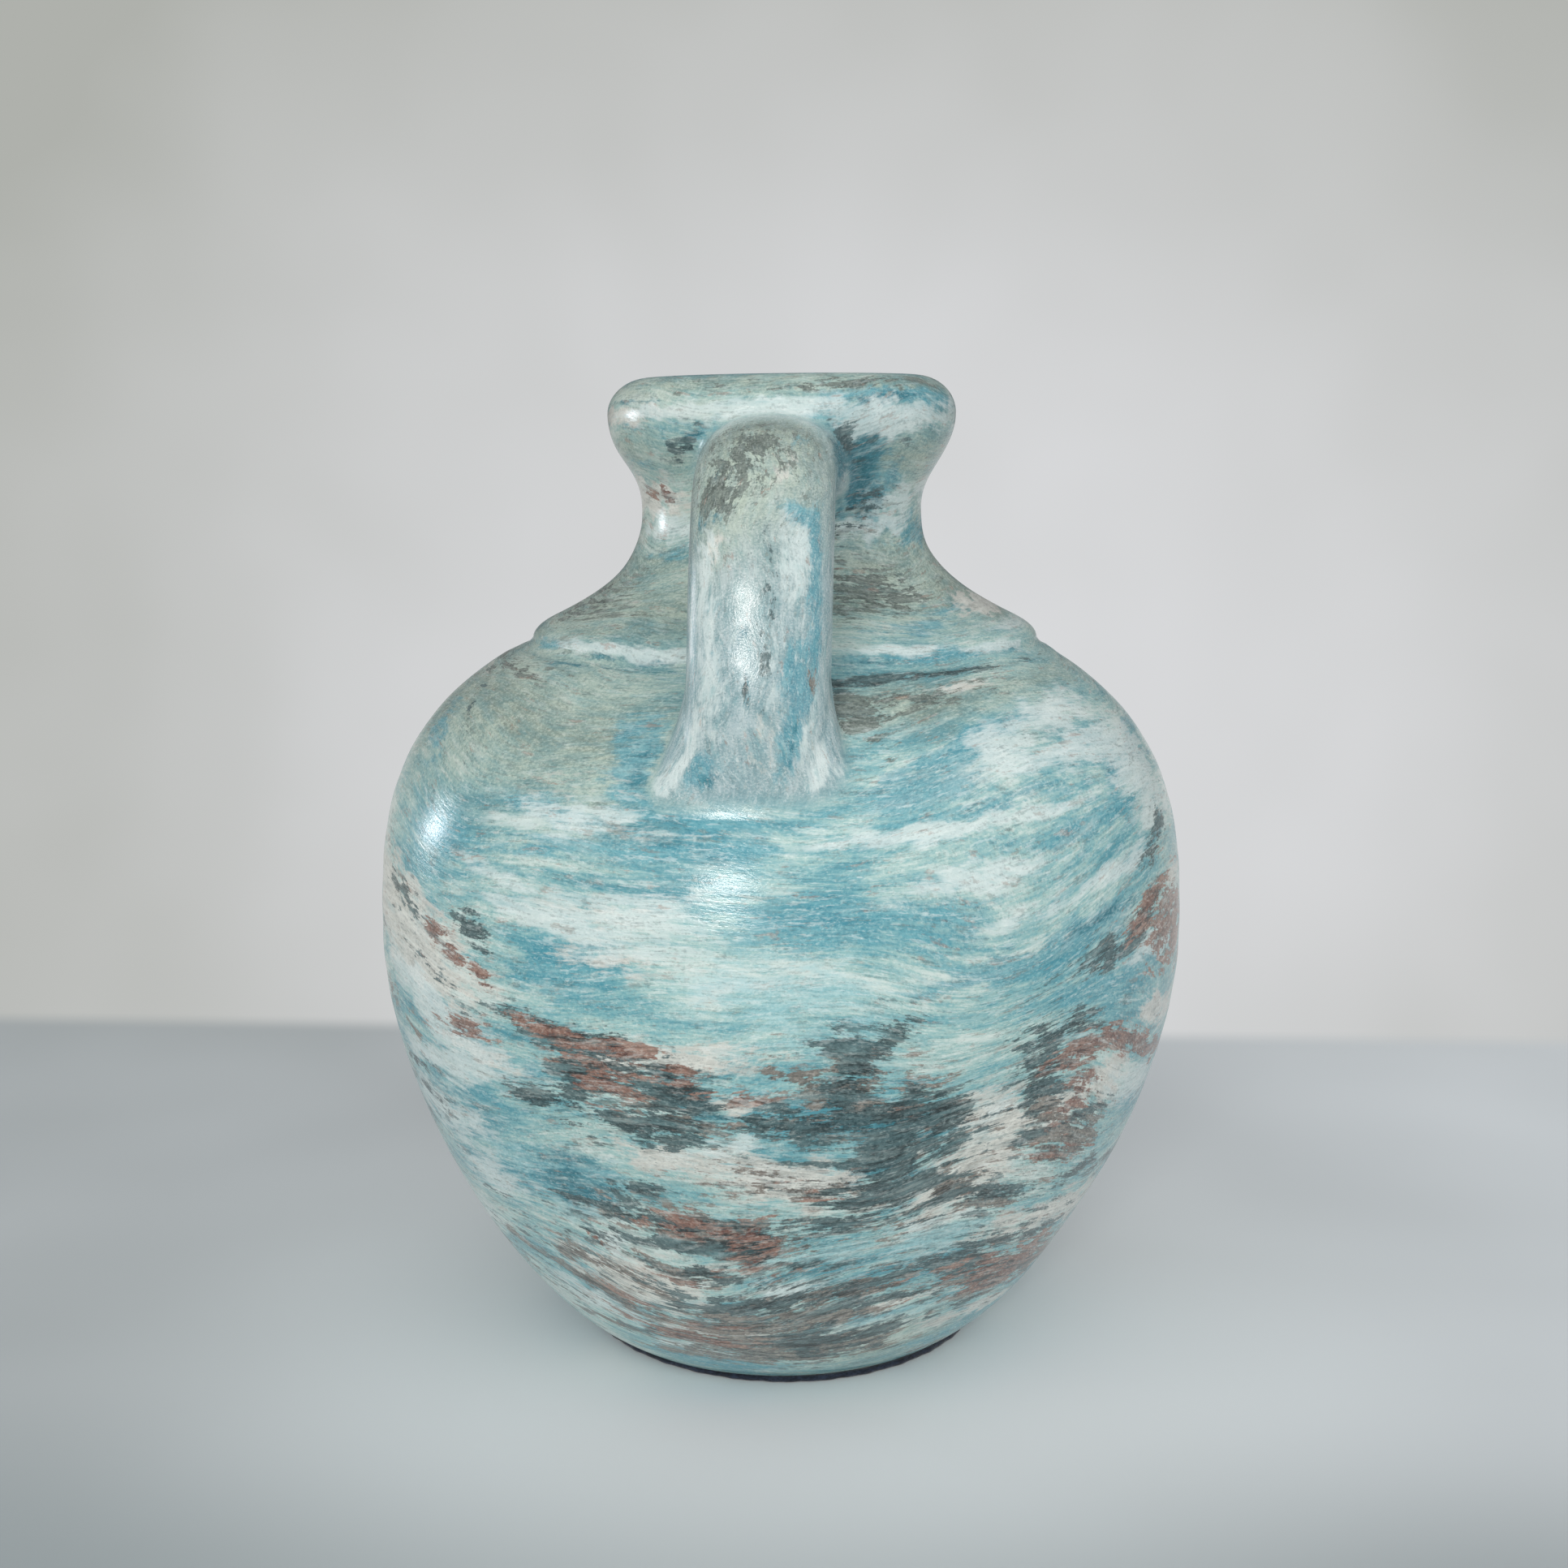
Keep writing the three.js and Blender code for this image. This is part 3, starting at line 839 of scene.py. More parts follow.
# %% List the marks below the belly
middle_marks = [
    ("white", -50, 84, 56, 8, 2, 1.0),
    ("blue", -46, 78, 50, 4, 2, 0.8),
    ("white", -54, 70, 50, 14, 0, 0.95),
    ("slate", -58, 79, 20, 3, 0, 0.8),
    ("slate", -57, 73, 26, 4, 0, 0.8),
    ("brown", -64, 92, 34, 6, -14, 0.6),
    ("rust", -42, 95, 18, 5, 2, 0.95),
    ("cream", -40, 90, 30, 6, -8, 0.8),
    ("slate", -24, 98, 40, 7, -8, 0.8),
    ("rust", -25, 99, 24, 5, -6, 0.95),
    ("rust", -17, 97, 16, 4, 0, 0.9),
    ("cream", -20, 93, 20, 5, 10, 0.8),
    ("slate", -23, 89, 20, 12, 40, 1.0),
    ("rust", -20, 89, 14, 8, -20, 0.9),
    ("blue", -30, 89, 10, 8, 0, 1.0),
    ("slate", -30, 83, 12, 6, 0, 0.9),
    ("slate", -10, 89, 26, 9, -14, 1.0),
    ("teal", -7, 86, 20, 8, -12, 0.95),
    ("rust", -9, 92, 14, 5, -12, 0.95),
    ("slate", -14, 80, 26, 9, -6, 0.95),
    ("blue", -20, 82, 24, 6, -4, 0.7),
    ("brown", -12, 84, 22, 7, -14, 0.7),
    ("cream", -1, 87, 14, 5, -4, 0.95),
    ("rust", -1, 88, 10, 3, -8, 0.7),
    ("slate", 4, 82, 30, 6, -3, 0.9),
    ("slate", 12, 95, 11, 18, -20, 1.0),
    ("slate", 16, 101, 14, 6, 40, 0.8),
    ("slate", 8, 100, 12, 4, 0, 0.8),
    ("brown", 10, 90, 28, 14, 0, 0.8),
    ("slate", 20, 82, 34, 11, -8, 1.0),
    ("slate", 17, 73, 26, 14, -4, 1.0),
    ("teal", 17, 79, 30, 9, -6, 0.9),
    ("teal", 14, 69, 26, 8, 4, 0.8),
    ("slate", 15, 62, 16, 12, 20, 0.8),
    ("brown", 22, 84, 18, 8, -10, 0.6),
    ("slate", 12, 56, 26, 5, 0, 0.7),
    ("cream", 4, 68, 34, 13, -10, 1.0),
    ("brown", 6, 66, 24, 5, -12, 0.8),
    ("rust", 8, 64, 16, 3, -12, 0.5),
    ("cream", -12, 73, 26, 8, -4, 0.8),
    ("white", -4, 76, 24, 6, 10, 0.85),
    ("blue", -28, 62, 40, 20, -2, 1.0),
    ("teal", -25, 61, 34, 10, -4, 0.8),
    ("teal", -27, 68, 18, 5, 0, 0.6),
    ("slate", -17, 64, 12, 5, 0, 1.0),
    ("slate", -20, 57, 30, 3, -6, 0.9),
    ("white", -46, 56, 40, 14, 0, 0.85),
    ("slate", -66, 62, 20, 6, 0, 0.6),
    ("slate", 38, 93, 16, 10, -20, 0.95),
    ("slate", 39, 84, 10, 16, -10, 0.9),
    ("slate", 44, 97, 18, 7, 0, 0.9),
    ("rust", 45, 90, 26, 5, 14, 0.9),
    ("rust", 55, 89, 28, 5, -22, 0.9),
    ("rust", 64, 83, 26, 5, -20, 0.9),
    ("rust", 46, 80, 12, 16, -16, 0.9),
    ("brown", 42, 75, 18, 10, -10, 0.8),
    ("cream", 44, 78, 12, 12, -20, 0.9),
    ("brown", 48, 68, 26, 12, -6, 0.95),
    ("slate", 46, 73, 34, 3, 4, 0.9),
    ("rust", 46, 64, 24, 5, -8, 0.6),
    ("cream", 53, 80, 22, 14, -14, 1.0),
    ("cream", 31, 76, 24, 26, 0, 1.0),
    ("cream", 27, 63, 22, 12, 10, 1.0),
    ("white", 33, 82, 14, 8, 0, 0.9),
    ("brown", 27, 63, 9, 7, 30, 0.95),
    ("brown", 33, 59, 20, 5, -30, 0.8),
    ("slate", 32, 60, 30, 8, -20, 0.55),
    ("cream", 66, 92, 34, 10, -14, 0.9),
    ("white", 64, 74, 40, 12, -10, 0.95),
    ("blue", 62, 70, 26, 6, -10, 0.9),
    ("rust", 72, 80, 24, 5, -14, 0.8),
    ("slate", 53, 56, 14, 5, 0, 0.9),
    ("slate", 64, 54, 24, 4, -10, 0.8),
]
print(len(middle_marks), "marks below the belly")

# %% List the marks near the foot
low_marks = [
    ("mist", 27, 49, 28, 11, 6, 0.9),
    ("mist", 10, 47, 30, 6, 0, 0.8),
    ("mist", -36, 66, 30, 10, 0, 0.7),
    ("mist", 20, 25, 34, 5, 8, 0.7),
    ("mist", -30, 52, 26, 6, -10, 0.7),
    ("blue", 24, 50, 36, 16, 0, 0.5),
    ("white", 26, 54, 34, 6, 2, 0.7),
    ("brown", -6, 54, 38, 9, -5, 0.95),
    ("rust", -8, 55, 30, 5, -6, 0.9),
    ("rust", -1, 51, 10, 14, 30, 1.0),
    ("slate", -6, 49, 34, 6, -4, 0.85),
    ("slate", 2, 46, 18, 5, -10, 0.8),
    ("slate", -20, 56, 30, 4, -4, 0.7),
    ("brown", -32, 41, 18, 6, -18, 1.0),
    ("slate", -23, 50, 20, 4, -10, 0.6),
    ("rust", -26, 47, 3, 10, 10, 0.9),
    ("white", -23, 46, 9, 9, -20, 1.0),
    ("cream", -21, 36, 34, 18, -22, 1.0),
    ("brown", -15, 42, 30, 3, -24, 1.0),
    ("rust", -13, 38, 20, 2.5, -10, 0.8),
    ("brown", -17, 34, 30, 3, -30, 0.9),
    ("brown", -36, 34, 38, 4, -12, 0.85),
    ("brown", -26, 28, 26, 5, -22, 0.9),
    ("rust", -24, 30, 18, 2.5, -24, 0.7),
    ("brown", -50, 26, 34, 7, -10, 0.7),
    ("white", -33, 25, 32, 13, -10, 1.0),
    ("brown", -34, 17, 26, 3.5, -6, 0.85),
    ("slate", -26, 18, 14, 4, 20, 0.7),
    ("white", -60, 40, 34, 18, -6, 0.7),
    ("slate", -8, 41, 22, 4, -6, 0.9),
    ("rust", -8, 41, 12, 2, -10, 0.8),
    ("white", 4, 37, 20, 9, 0, 1.0),
    ("slate", -3, 32, 34, 5, 8, 0.95),
    ("brown", 12, 36, 40, 5, 10, 1.0),
    ("slate", 22, 40, 30, 4, 12, 0.8),
    ("brown", 2, 27, 44, 6, 8, 0.95),
    ("blue", 18, 27, 36, 6, 6, 0.8),
    ("slate", 22, 33, 34, 3, 8, 0.8),
    ("cream", 22, 31, 24, 5, 4, 0.7),
    ("brown", -2, 19, 32, 12, 6, 1.0),
    ("brown", 0, 13, 56, 8, 5, 1.0),
    ("slate", 22, 22, 50, 5, 10, 0.9),
    ("brown", 13, 18, 20, 11, 0, 0.95),
    ("slate", 9, 17, 10, 20, 0, 0.95),
    ("teal", 9, 22, 14, 6, 0, 0.6),
    ("grey", 24, 14, 30, 20, 0, 0.9),
    ("slate", 20, 15, 16, 6, -20, 0.6),
    ("rust", -18, 20, 26, 5, -12, 1.0),
    ("rust", -12, 18, 24, 3, 0, 1.0),
    ("cream", -10, 22, 26, 5, 0, 0.9),
    ("rust", -8, 24, 20, 2.4, 6, 0.8),
    ("white", -18, 14, 20, 6, 0, 0.9),
    ("blue", -20, 10, 30, 9, 0, 1.0),
    ("blue", -6, 7, 26, 7, 0, 0.9),
    ("white", -8, 12, 20, 4, 6, 0.8),
    ("white", 0, 6, 10, 6, 0, 0.6),
    ("rust", 48, 32, 44, 15, -10, 1.0),
    ("brown", 42, 31, 30, 14, -8, 0.8),
    ("rust", 45, 28, 7, 5, -20, 1.0),
    ("slate", 36, 38, 12, 8, 0, 0.9),
    ("brown", 60, 27, 26, 9, -14, 0.75),
    ("cream", 53, 45, 44, 9, -8, 1.0),
    ("slate", 33, 47, 26, 9, -20, 0.6),
    ("slate", 48, 42, 26, 3, -8, 0.8),
    ("cream", 48, 19, 34, 8, -6, 0.9),
    ("blue", 42, 11, 26, 7, -6, 0.9),
    ("brown", 44, 7, 26, 4, -4, 0.6),
]
front_marks = scattered_marks + rim_marks + neck_marks + collar_marks + shoulder_marks
front_marks += belly_marks + middle_marks + low_marks
print(len(low_marks), "marks near the foot, and", len(front_marks), "on the front")

# %% [markdown]
# The photo shows only the side with the handle. The far side is guessed to be painted the same way,
# so it repeats the marks turned about, each shifted a little by seeded chance. The brush was also
# drawn at a slope in places, which is listed apart: the centre of each place, how far it reaches
# sideways and upwards in millimetres, and the slope in degrees.

# %% Paint the far side and comb the grain
chance = np.random.default_rng(11)
far_stretch, far_drift, far_lift = 1.25, 9, 3
lift_above, lift_below = 12, 160
shortest, longest = 0.8, 1.3
far_marks = []
for name, centre, level, length, breadth, tilt, load in front_marks:
    moved = 180 - far_stretch * centre + chance.uniform(-far_drift, far_drift)
    raised = level + chance.uniform(-far_lift, far_lift) * (lift_above < level < lift_below)
    far_length = length * chance.uniform(shortest, longest)
    far_marks.append((name, moved, raised, far_length, breadth, -tilt, load))
pot_marks = front_marks + far_marks
combings = [
    (-55, 112, 40, 30, -18),
    (-30, 34, 40, 26, -16),
    (-20, 88, 30, 16, -10),
    (52, 122, 40, 26, 11),
    (30, 156, 36, 24, 11),
    (55, 82, 34, 22, -18),
    (48, 34, 30, 20, -14),
    (5, 34, 30, 16, 9),
    (22, 64, 18, 16, 24),
    (130, 60, 40, 30, 14),
    (180, 110, 40, 34, -12),
    (-140, 80, 40, 30, 14),
    (-110, 140, 36, 30, -10),
    (150, 25, 30, 20, -12),
]
print(len(pot_marks), "marks and", len(combings), "combings")

# %% [markdown]
# ## Laying the marks
# Each mark becomes a soft patch on the surface, measured along the clay and not through it.

# %% Turn marks into fields
paints = ("grey", "blue", "teal", "cream", "white", "brown", "soot", "slate", "rust", "mist")
mark_fade = 0.9
wave_total, fewest_waves, most_waves = 30, 14, 90
wander_radius, wander_share = 80, 0.03
free_breadth, free_upright = 8, 0.6
outside_levels = outside[:, 1]
outside_radii = outside[:, 0]
outside_arcs = arc[: len(outside)]


def arc_at(level):
    """How far up the outside of the pot a level is, along the clay."""
    return np.interp(level, outside_levels, outside_arcs)


def radius_at(level):
    """The radius of the pot's outside at a level."""
    return np.interp(level, outside_levels, outside_radii)


def oval(sideways, upwards, length, breadth, tilt):
    """A mark's weight: nearly full inside its oval and fading past its edge."""
    turn = math.radians(tilt)
    along = sideways * math.cos(turn) + upwards * math.sin(turn)
    across = upwards * math.cos(turn) - sideways * math.sin(turn)
    spread = (2 * along / length) ** 2 + (2 * across / breadth) ** 2
    return np.exp(-mark_fade * spread)


def wander(azimuth, climb, seed):
    """A shift in millimetres made of many slow and quick waves, so that no mark stays an oval."""
    luck = np.random.default_rng(seed)
    shift = np.zeros(azimuth.shape)
    for waves_round in luck.integers(fewest_waves, most_waves, wave_total):
        wave = 2 * math.pi * wander_radius / waves_round
        upright = luck.uniform(-2, 2) * 2 * math.pi / wave
        phase = 9 * luck.random()
        shift += wander_share * wave * np.sin(waves_round * azimuth + upright * climb + phase)
    return shift


def lay_on_pot(azimuth, climb):
    """The weight of each paint, and the combing of the grain, at points of the pot."""
    weights = {name: np.zeros(azimuth.shape) for name in paints}
    comb = np.zeros(azimuth.shape)
    aside, upright = wander(azimuth, climb, 3), wander(azimuth, climb, 4)
    for name, centre, level, length, breadth, tilt, load in pot_marks:
        turn = np.angle(np.exp(1j * (azimuth - math.radians(centre))))
        freedom = min(1, breadth / free_breadth)
        sideways = turn * radius_at(level) + freedom * aside
        upwards = climb - arc_at(level) + free_upright * freedom * upright
        weight = oval(sideways, upwards, length, breadth, tilt)
        weights[name] = 1 - (1 - weights[name]) * (1 - load * weight)
    for centre, level, reach, height, tilt in combings:
        turn = np.angle(np.exp(1j * (azimuth - math.radians(centre))))
        sideways = turn * radius_at(level)
        weight = np.exp(-((sideways / reach) ** 2) - ((climb - arc_at(level)) / height) ** 2)
        comb -= math.tan(math.radians(tilt)) * sideways * weight
    comb += 1.6 * np.sin(3 * azimuth + climb / 19) + 1.1 * np.sin(7 * azimuth - climb / 13 + 1)
    return weights, comb


print("at its edge a mark keeps", round(math.exp(-mark_fade), 2), "of its load")

# %% Lay the marks on the pot
plain_start, plain_full = 2, 16
pot_azimuth = np.arctan2(pot_true[..., 0], -pot_true[..., 1])
pot_climb = np.repeat(arc[:, None], turns, axis=1)
pot_weights, pot_comb = lay_on_pot(pot_azimuth, pot_climb)
pot_grain = np.stack([pot_true[..., 0], pot_true[..., 1], pot_climb + pot_comb], axis=-1)
lip_climb = arc[len(outside)]
past_lip = smooth(pot_climb, lip_climb + plain_start, lip_climb + plain_full)
print("laid", len(pot_marks), "marks on the pot")

# %% [markdown]
# ## Cutting the pot into its pieces
# The real pot was thrown in sections and joined. The skin is cut at the same levels as the solids,
# each section closed by its own level joint. The shading direction comes from the whole pot, not
# from each section, so no joint shows, and a section can still be lifted out.


# %% Build one section
def clay_mesh(name, rows, normals, fields, capped, flat_pairs):
    """A closed piece from stacked rows of points, with its shading directions and its fields.

    A capped piece closes on a point at each end, another joins its last row to its first. The
    flat pairs are the rows whose faces up to the next row keep their own direction.
    """
    count, wide = rows.shape[:2]
    places, ways = rows.reshape(-1, 3), normals.reshape(-1, 3)
    index = np.arange(count * wide).reshape(count, wide)
    beside, above = np.roll(index, -1, axis=1), np.roll(index, -1, axis=0)
    above_beside = np.roll(beside, -1, axis=0)
    pairs = count - 1 if capped else count
    faces = np.stack([index, beside, above_beside, above], axis=-1)[:pairs].reshape(-1, 4).tolist()
    flat = np.repeat(np.isin(np.arange(pairs), flat_pairs), wide)
    if capped:
        ends = np.stack([rows[0].mean(axis=0), rows[-1].mean(axis=0)])
        places = np.concatenate([places, ends])
        ways = np.concatenate([ways, np.zeros((2, 3))])
        first, last = count * wide, count * wide + 1
        faces += [[first, b, a] for a, b in zip(index[0], beside[0])]
        faces += [[last, a, b] for a, b in zip(index[-1], beside[-1])]
        flat = np.concatenate([flat, np.ones(2 * wide, bool)])
    mesh = bpy.data.meshes.new(name)
    mesh.from_pydata((places * mm).tolist(), [], faces)
    mesh.shade_smooth()
    for field, values in fields.items():
        size = values.shape[2] if values.ndim == 3 else 1
        kind = "FLOAT_VECTOR" if size == 3 else "FLOAT"
        values = values.reshape(count * wide, size)
        if capped:
            values = np.concatenate([values, values[:1], values[-1:]])
        attribute = mesh.attributes.new(field, kind, "POINT")
        attribute.data.foreach_set("vector" if size == 3 else "value", values.ravel())
    corner_points = np.empty(len(mesh.loops), np.int32)
    mesh.loops.foreach_get("vertex_index", corner_points)
    face_ways = np.empty(3 * len(mesh.polygons), np.float32)
    mesh.polygons.foreach_get("normal", face_ways)
    corners = np.empty(len(mesh.polygons), np.int32)
    mesh.polygons.foreach_get("loop_total", corners)
    own_way = np.repeat(flat, corners)[:, None]
    ways = np.where(own_way, np.repeat(face_ways.reshape(-1, 3), corners, axis=0), ways[corner_points])
    mesh.normals_split_custom_set(ways.tolist())
    piece = bpy.data.objects.new(name, mesh)
    bpy.context.scene.collection.objects.link(piece)
    return piece


print(len(outline) * turns, "points of clay to cut")

# %% [markdown]
# A section takes one stretch of rows outside and one inside. The rim is the one that turns over
# from the outside to the inside in a single stretch.


# %% Cut the sections
def outer_row(level):
    """The row outside that lies nearest a level."""
    return int(np.argmin(np.abs(outline[: len(outside), 1] - level)))


def inner_row(level):
    """The row inside that lies nearest a level."""
    return len(outside) + int(np.argmin(np.abs(outline[len(outside) :, 1] - level)))


def section(name, low, high):
    """The piece of the pot between two levels. None means to the pot's own end."""
    outer_low = 0 if low is None else outer_row(low)
    inner_low = len(outline) - 1 if low is None else inner_row(low)
    if high is None:
        keep = np.arange(outer_low, inner_low + 1)
        joints = [len(keep) - 1]
    else:
        out = np.arange(outer_low, outer_row(high) + 1)
        keep = np.concatenate([out, np.arange(inner_row(high), inner_low + 1)])
        joints = [len(out) - 1, len(keep) - 1]
    fields = {"grain": pot_grain[keep], "inside": past_lip[keep]}
    fields.update({paint_name: pot_weights[paint_name][keep] for paint_name in paints})
    piece = clay_mesh(name, pot[keep], pot_normals[keep], fields, low is None, joints)
    print(name, len(piece.data.polygons), "faces")
    return piece


sections = {
    "lower_body": section("lower_body_glazed", None, belly_level),
    "upper_body": section("upper_body_glazed", belly_level, seat_level),
    "shoulder_collar": section("shoulder_collar_glazed", seat_level, neck_level),
    "neck": section("neck_glazed", neck_level, rim_seam_level),
    "rim": section("rim_glazed", rim_seam_level, None),
}

# %% [markdown]
# ## Handle
# A strap handle is pulled from a roll of clay, so its section is a soft oval and it runs out a
# little thinner as it goes. Its middle line is a smooth curve through a few points.

# %% Bend the strap
strap_width = 30.4
strap_thickness = 21.0
strap_squareness = 2.25
strap_depth = 9.8
strap_rise = 1.5
strap_lean = 4.6
bend_length = 25.3
knuckle_inset, knuckle_drop = 8.1, 5.6
bend_drop = 21.5
root_depth = 26.2
root_length = 28
root_spreads = {-1: 17.0, 1: 13.0}
neck_spread = 1.8
neck_spread_length = 12
lean = 0.9
thumb_level, thumb_reach, thumb_swell, thumb_clearance = 193, 13, 0.8, 15
neck_bite, shoulder_bite = 3.5, 1
strap_sides = 120
points_per_bend = 40


def smooth_line(points, steps):
    """Points along a centripetal Catmull-Rom curve through a list of points."""
    points = np.array(points, float)
    points = np.vstack([2 * points[0] - points[1], points, 2 * points[-1] - points[-2]])
    line = []
    for a, b, c, d in zip(points, points[1:], points[2:], points[3:]):
        ab, bc, cd = (np.linalg.norm(q - p) ** 0.5 for p, q in ((a, b), (b, c), (c, d)))
        leave = (c - b) + bc * ((b - a) / ab - (c - a) / (ab + bc))
        arrive = (c - b) + bc * ((d - c) / cd - (d - b) / (bc + cd))
        line.append(bend(b, b + leave / 3, c - arrive / 3, c, steps)[:-1])
    return np.concatenate(line + [points[-2:-1]])


strap_top = lip_level - strap_depth - strap_thickness / 2
foot_end = seat_level - root_depth
foot_reach = radius_at(foot_end) - shoulder_bite - strap_thickness / 2
strap_reach = foot_reach - strap_lean
root_top = foot_end + root_length
handle_points = [
    (waist_radius - neck_bite, strap_top - strap_rise),
    (strap_reach - bend_length, strap_top),
    (strap_reach - knuckle_inset, strap_top - knuckle_drop),
    (strap_reach, strap_top - bend_drop),
    ((strap_reach + foot_reach) / 2, (strap_top - bend_drop + root_top) / 2),
    (foot_reach, root_top),
    (foot_reach, foot_end - strap_thickness / 2),
]
middle_line = smooth_line(handle_points, points_per_bend)
line_steps = np.linalg.norm(np.diff(middle_line, axis=0), axis=1)
line_distance = np.concatenate([[0], np.cumsum(line_steps)])
strap_length = line_distance[-1]


def strap_point(distance, side):
    """Points of the strap's skin, by distance along it and by angle round its section."""
    out = np.interp(distance, line_distance, middle_line[:, 0])
    up = np.interp(distance, line_distance, middle_line[:, 1])
    slopes = np.gradient(middle_line, line_distance, axis=0)
    along_out = np.interp(distance, line_distance, slopes[:, 0])
    along_up = np.interp(distance, line_distance, slopes[:, 1])
    length = np.hypot(along_out, along_up)
    cos, sin = np.cos(side), np.sin(side)
    foot_share = np.clip((distance - strap_length + strap_thickness / 2) / root_length + 1, 0, 1)
    neck_share = np.clip(1 - distance / neck_spread_length, 0, 1)
    spread = np.where(cos < 0, root_spreads[-1], root_spreads[1]) * foot_share**3
    half_width = strap_width / 2 + spread + neck_spread * neck_share**2
    power = 2 / strap_squareness
    wide = half_width * np.sign(cos) * np.abs(cos) ** power
    thick = strap_thickness / 2 * np.sign(sin) * np.abs(sin) ** power
    thumb = thumb_swell * np.exp(-(((up - thumb_level) / thumb_reach) ** 2))
    thumb = thumb * (out > waist_radius + thumb_clearance)
    away = out + thumb - thick * along_up / length
    level = up + thick * along_out / length
    shift = -lean * smooth(distance, strap_length / 3, strap_length)
    return np.stack([wide + shift, -away, level], axis=-1)


print("the strap's middle line is", round(strap_length, 1), "mm long")

# %% [markdown]
# The strap runs into the pot at both ends, where slip is smoothed into a fillet. Each side line of
# the strap is followed until it meets the pot, and from there a small curve leaves the strap and
# lands on the pot without a step. A boolean join would give the crease but not the fillet.


# %% Find where the strap meets the pot
seam_sink, seam_depth = 0.03, 2.5
meeting_tries = 1600
sides = np.linspace(0, 2 * math.pi, strap_sides, endpoint=False)


def pot_point(azimuth, climb, sunk):
    """Points of the true pot's outside, sunk below it by so much."""
    radius = np.interp(climb, outside_arcs, outside_radii)
    level = np.interp(climb, outside_arcs, outside_levels)
    slope = np.gradient(outside, outside_arcs, axis=0)
    radius = radius - sunk * np.interp(climb, outside_arcs, slope[:, 1])
    level = level + sunk * np.interp(climb, outside_arcs, slope[:, 0])
    return np.stack([radius * np.sin(azimuth), -radius * np.cos(azimuth), level], axis=-1)


def meeting(from_foot):
    """How far along the strap each of its side lines crosses the pot's skin."""
    tries = np.linspace(0, strap_length, meeting_tries)[:, None]
    places = strap_point(tries, sides[None, :])
    clear = np.hypot(places[..., 0], places[..., 1]) - radius_at(places[..., 2])
    if from_foot:
        tries, clear = tries[::-1], clear[::-1]
    first = np.argmax(clear > 0, axis=0)
    column = np.arange(len(sides))
    before, after = clear[first - 1, column], clear[first, column]
    share = before / (before - after)
    return tries[first - 1, 0] * (1 - share) + tries[first, 0] * share


def fillet(crossing, along, outwards, rows):
    """Rows of points from the pot's skin up on to the strap's."""
    corner = strap_point(crossing, sides)
    azimuth = np.arctan2(corner[:, 0], -corner[:, 1])
    climb = arc_at(corner[:, 2])
    radius = np.hypot(corner[:, 0], corner[:, 1])
    middle = (climb.max() + climb.min()) / 2
    sideways, upwards = azimuth * radius, climb - middle
    reach = np.hypot(sideways, upwards)
    landed_azimuth = azimuth + outwards * sideways / reach / radius
    landed_climb = climb + outwards * upwards / reach
    landing = pot_point(landed_azimuth, landed_climb, seam_sink)
    deep = pot_point(landed_azimuth, landed_climb, seam_depth)
    start = strap_point(crossing + along, sides)
    t = np.linspace(0, 1, rows)[:, None, None]
    return deep, (1 - t) ** 2 * landing + 2 * t * (1 - t) * corner + t**2 * start


neck_meeting, foot_meeting = meeting(False), meeting(True)
print("the strap leaves the neck at", round(float(neck_meeting.mean()), 1), "mm along its line")

# %% Join the strap to the pot
neck_fillet_rows, foot_fillet_rows, strap_rows = 12, 14, 92
face, edge_on = np.sin(sides), np.abs(np.cos(sides)) ** 3
# How far each fillet runs along the strap and out over the pot, longer at the strap's edges.
neck_along = 6 + 3 * edge_on
neck_out = 3.5 + 1.5 * edge_on
foot_along = -(6 + 6 * edge_on + 2 * (face < 0))
foot_out = 2.6 + 0.9 * edge_on + 2.0 * np.clip(-face, 0, 1)
neck_deep, neck_fillet = fillet(neck_meeting, neck_along, neck_out, neck_fillet_rows)
foot_deep, foot_fillet = fillet(foot_meeting, foot_along, foot_out, foot_fillet_rows)
share = np.linspace(0, 1, strap_rows)[1:-1, None]
span = (neck_meeting + neck_along) * (1 - share) + (foot_meeting + foot_along) * share
strap_true = np.concatenate([neck_fillet, strap_point(span, sides[None, :]), foot_fillet[::-1]])
strap = hand_made(strap_true, ringed=False)
strap_normals = normals_of(strap)
print("the strap crosses the foot at", round(float(strap_true[-1, :, 2].min()), 1), "mm up")

# %% [markdown]
# ## Paint on the handle
# The strap was brushed along its length. Its marks are placed across the strap from its middle and
# down it from the neck, in millimetres, and near the pot they give way to the pot's own marks, so
# that the paint runs over the seam.

